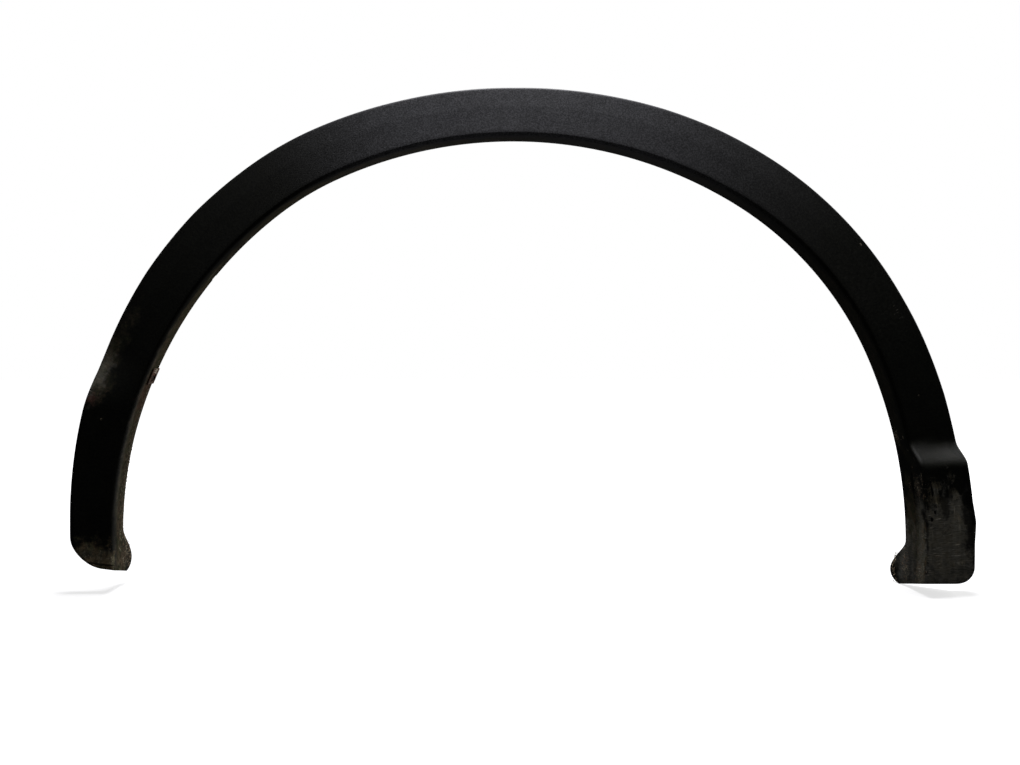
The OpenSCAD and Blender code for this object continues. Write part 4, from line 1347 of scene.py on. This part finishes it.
@dataclass(frozen=True)
class Studio:
    """Floor, light and camera round the part."""

    floor_height: float
    floor_half: float = 6.0
    floor_grey: float = 0.08
    room: float = 0.07
    mirrored: float = 0.018
    lamps: tuple[Lamp, ...] = (
        Lamp("window above", (0.12, 0.14, 2.2), (0.0, 0.0, 0.3), (0.9, 0.8), 62.0, (0.97, 0.965, 1.0)),
        Lamp("window beside", (1.6, 0.8, 0.7), (-0.4, 0.0, 0.1), (0.8, 0.8), 10.0),
    )

    def floor(self) -> None:
        """A plain floor that the camera sees as white, with the part's soft shadow on it."""
        h, z = self.floor_half, self.floor_height
        made = mesh_object("floor", [(-h, -h, z), (h, -h, z), (h, h, z), (-h, h, z)], [(0, 1, 2, 3)])
        made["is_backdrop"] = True
        material = bpy.data.materials.new("pale floor")
        material.use_nodes = True
        material.node_tree.nodes.clear()
        g = Graph(material.node_tree)
        path = g.add("LightPath").outputs
        place = g.add("TexCoord").outputs["Object"]
        parts = g.add("SeparateXYZ", {0: place}).outputs
        flat = g.add("CombineXYZ", {0: parts[0], 1: parts[1], 2: 0.0}).outputs[0]
        away = g.add("VectorMath", {0: flat}, operation="LENGTH").outputs["Value"]
        pale = g.add("BsdfDiffuse", {"Color": (0.5, 0.5, 0.5)}).outputs[0]
        glow = g.add("Emission", {"Color": (1.0, 1.0, 1.0), "Strength": g.ramp(away, 0.5, 1.2, 0.72, 1.0)}).outputs[0]
        white = g.add("AddShader", {0: pale, 1: glow}).outputs[0]
        level = g.ramp(path["Is Glossy Ray"], 0.0, 1.0, self.floor_grey, self.floor_grey / 8)
        grey = g.add("BsdfDiffuse", {"Color": g.add("CombineColor", {0: level, 1: level, 2: level}).outputs[0]}).outputs[0]
        behind = g.math("MULTIPLY", g.ramp(parts[1], 0.1, 0.6, 0.0, self.mirrored), path["Is Glossy Ray"])
        shine = g.add("Emission", {"Color": (1.0, 1.0, 1.0), "Strength": behind}).outputs[0]
        dim = g.add("AddShader", {0: grey, 1: shine}).outputs[0]
        seen = g.math("MAXIMUM", path["Is Camera Ray"], path["Is Transmission Ray"])
        surface = g.add("MixShader", {0: seen, 1: dim, 2: white}).outputs[0]
        g.put(g.add("OutputMaterial").inputs["Surface"], surface)
        made.data.materials.append(material)

    def room_light(self) -> None:
        """A dim room that the camera sees as white."""
        world = bpy.data.worlds.new("room")
        bpy.context.scene.world = world
        world.use_nodes = True
        world.node_tree.nodes.clear()
        g = Graph(world.node_tree)
        path = g.add("LightPath").outputs
        seen = g.math("MAXIMUM", path["Is Camera Ray"], path["Is Transmission Ray"])
        level = g.ramp(path["Is Glossy Ray"], 0.0, 1.0, self.room, self.mirrored)
        dim = g.add("Background", {"Color": (1.0, 1.0, 1.0), "Strength": level}).outputs[0]
        white = g.add("Background", {"Color": (1.0, 1.0, 1.0), "Strength": 1.0}).outputs[0]
        g.put(g.add("OutputWorld").inputs["Surface"], g.add("MixShader", {0: seen, 1: dim, 2: white}).outputs[0])

    def camera(self) -> None:
        """The camera of the photo, level and square to the arch, with its picture shifted."""
        data = bpy.data.cameras.new("camera")
        data.sensor_width, data.lens = 36.0, 42.0
        data.shift_x, data.shift_y = 60.0 / 1020.0, -44.5 / 1020.0
        data.clip_start, data.clip_end = 0.05, 50.0
        made = bpy.data.objects.new("camera", data)
        made.matrix_world = Matrix.Translation((-0.0667, -1.208, 0.198)) @ Matrix.Rotation(math.pi / 2, 4, "X")
        bpy.context.scene.collection.objects.link(made)
        bpy.context.scene.camera = made

    def build(self) -> None:
        """Sets up the whole studio."""
        self.floor()
        self.room_light()
        self.camera()
        for lamp in self.lamps:
            lamp.hang()
        bpy.context.scene.view_settings.view_transform = "Standard"


def fit(piece: bpy.types.Object, slot: Slot, material: bpy.types.Material | None, *nodes: str) -> None:
    """Gives a finished piece its material, its body and the CAD nodes it stands for."""
    if material is not None:
        piece.data.materials.clear()
        piece.data.materials.append(material)
    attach(piece, "root")
    if nodes:
        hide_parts(*nodes)
    LOG.info("%s: %d faces", piece.name, len(piece.data.polygons))


def main() -> None:
    logging.basicConfig(level=logging.INFO, format="%(name)s %(message)s")
    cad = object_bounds()
    groups, section = Groups(), Section()
    plastic = BlackPlastic(groups).build("black grained plastic")
    behind = BlackPlastic(groups, marked=False).build("black plastic behind the face")
    backing = Backing(section)
    fit(Moulding(section).build(), Slot.MOULDING, plastic, "body")
    fit(backing.build(), Slot.MOULDING, behind)
    fit(PushClips(backing).build(PaleNylon(groups).build("pale nylon")), Slot.CLIP, None, "push_clips")
    fit(MudCrumbs(section).build(DriedMud(groups).build("dried mud")), Slot.MOULDING, None)
    nut = SpringNut(section)
    # The nut's finish is darker round its hole and has a painted highlight near its upper end
    steel = RustySteel(groups, hole=nut.spot(-2, 0, 1), wear_and_painted_light=nut.spot(-2, 3, -7))
    fit(nut.build(), Slot.NUT, steel.build("rusty sheet steel"), "spring_nut")
    Studio(floor_height=cad[0].z).build()
    bpy.context.view_layer.update()


if __name__ == "__main__":
    main()
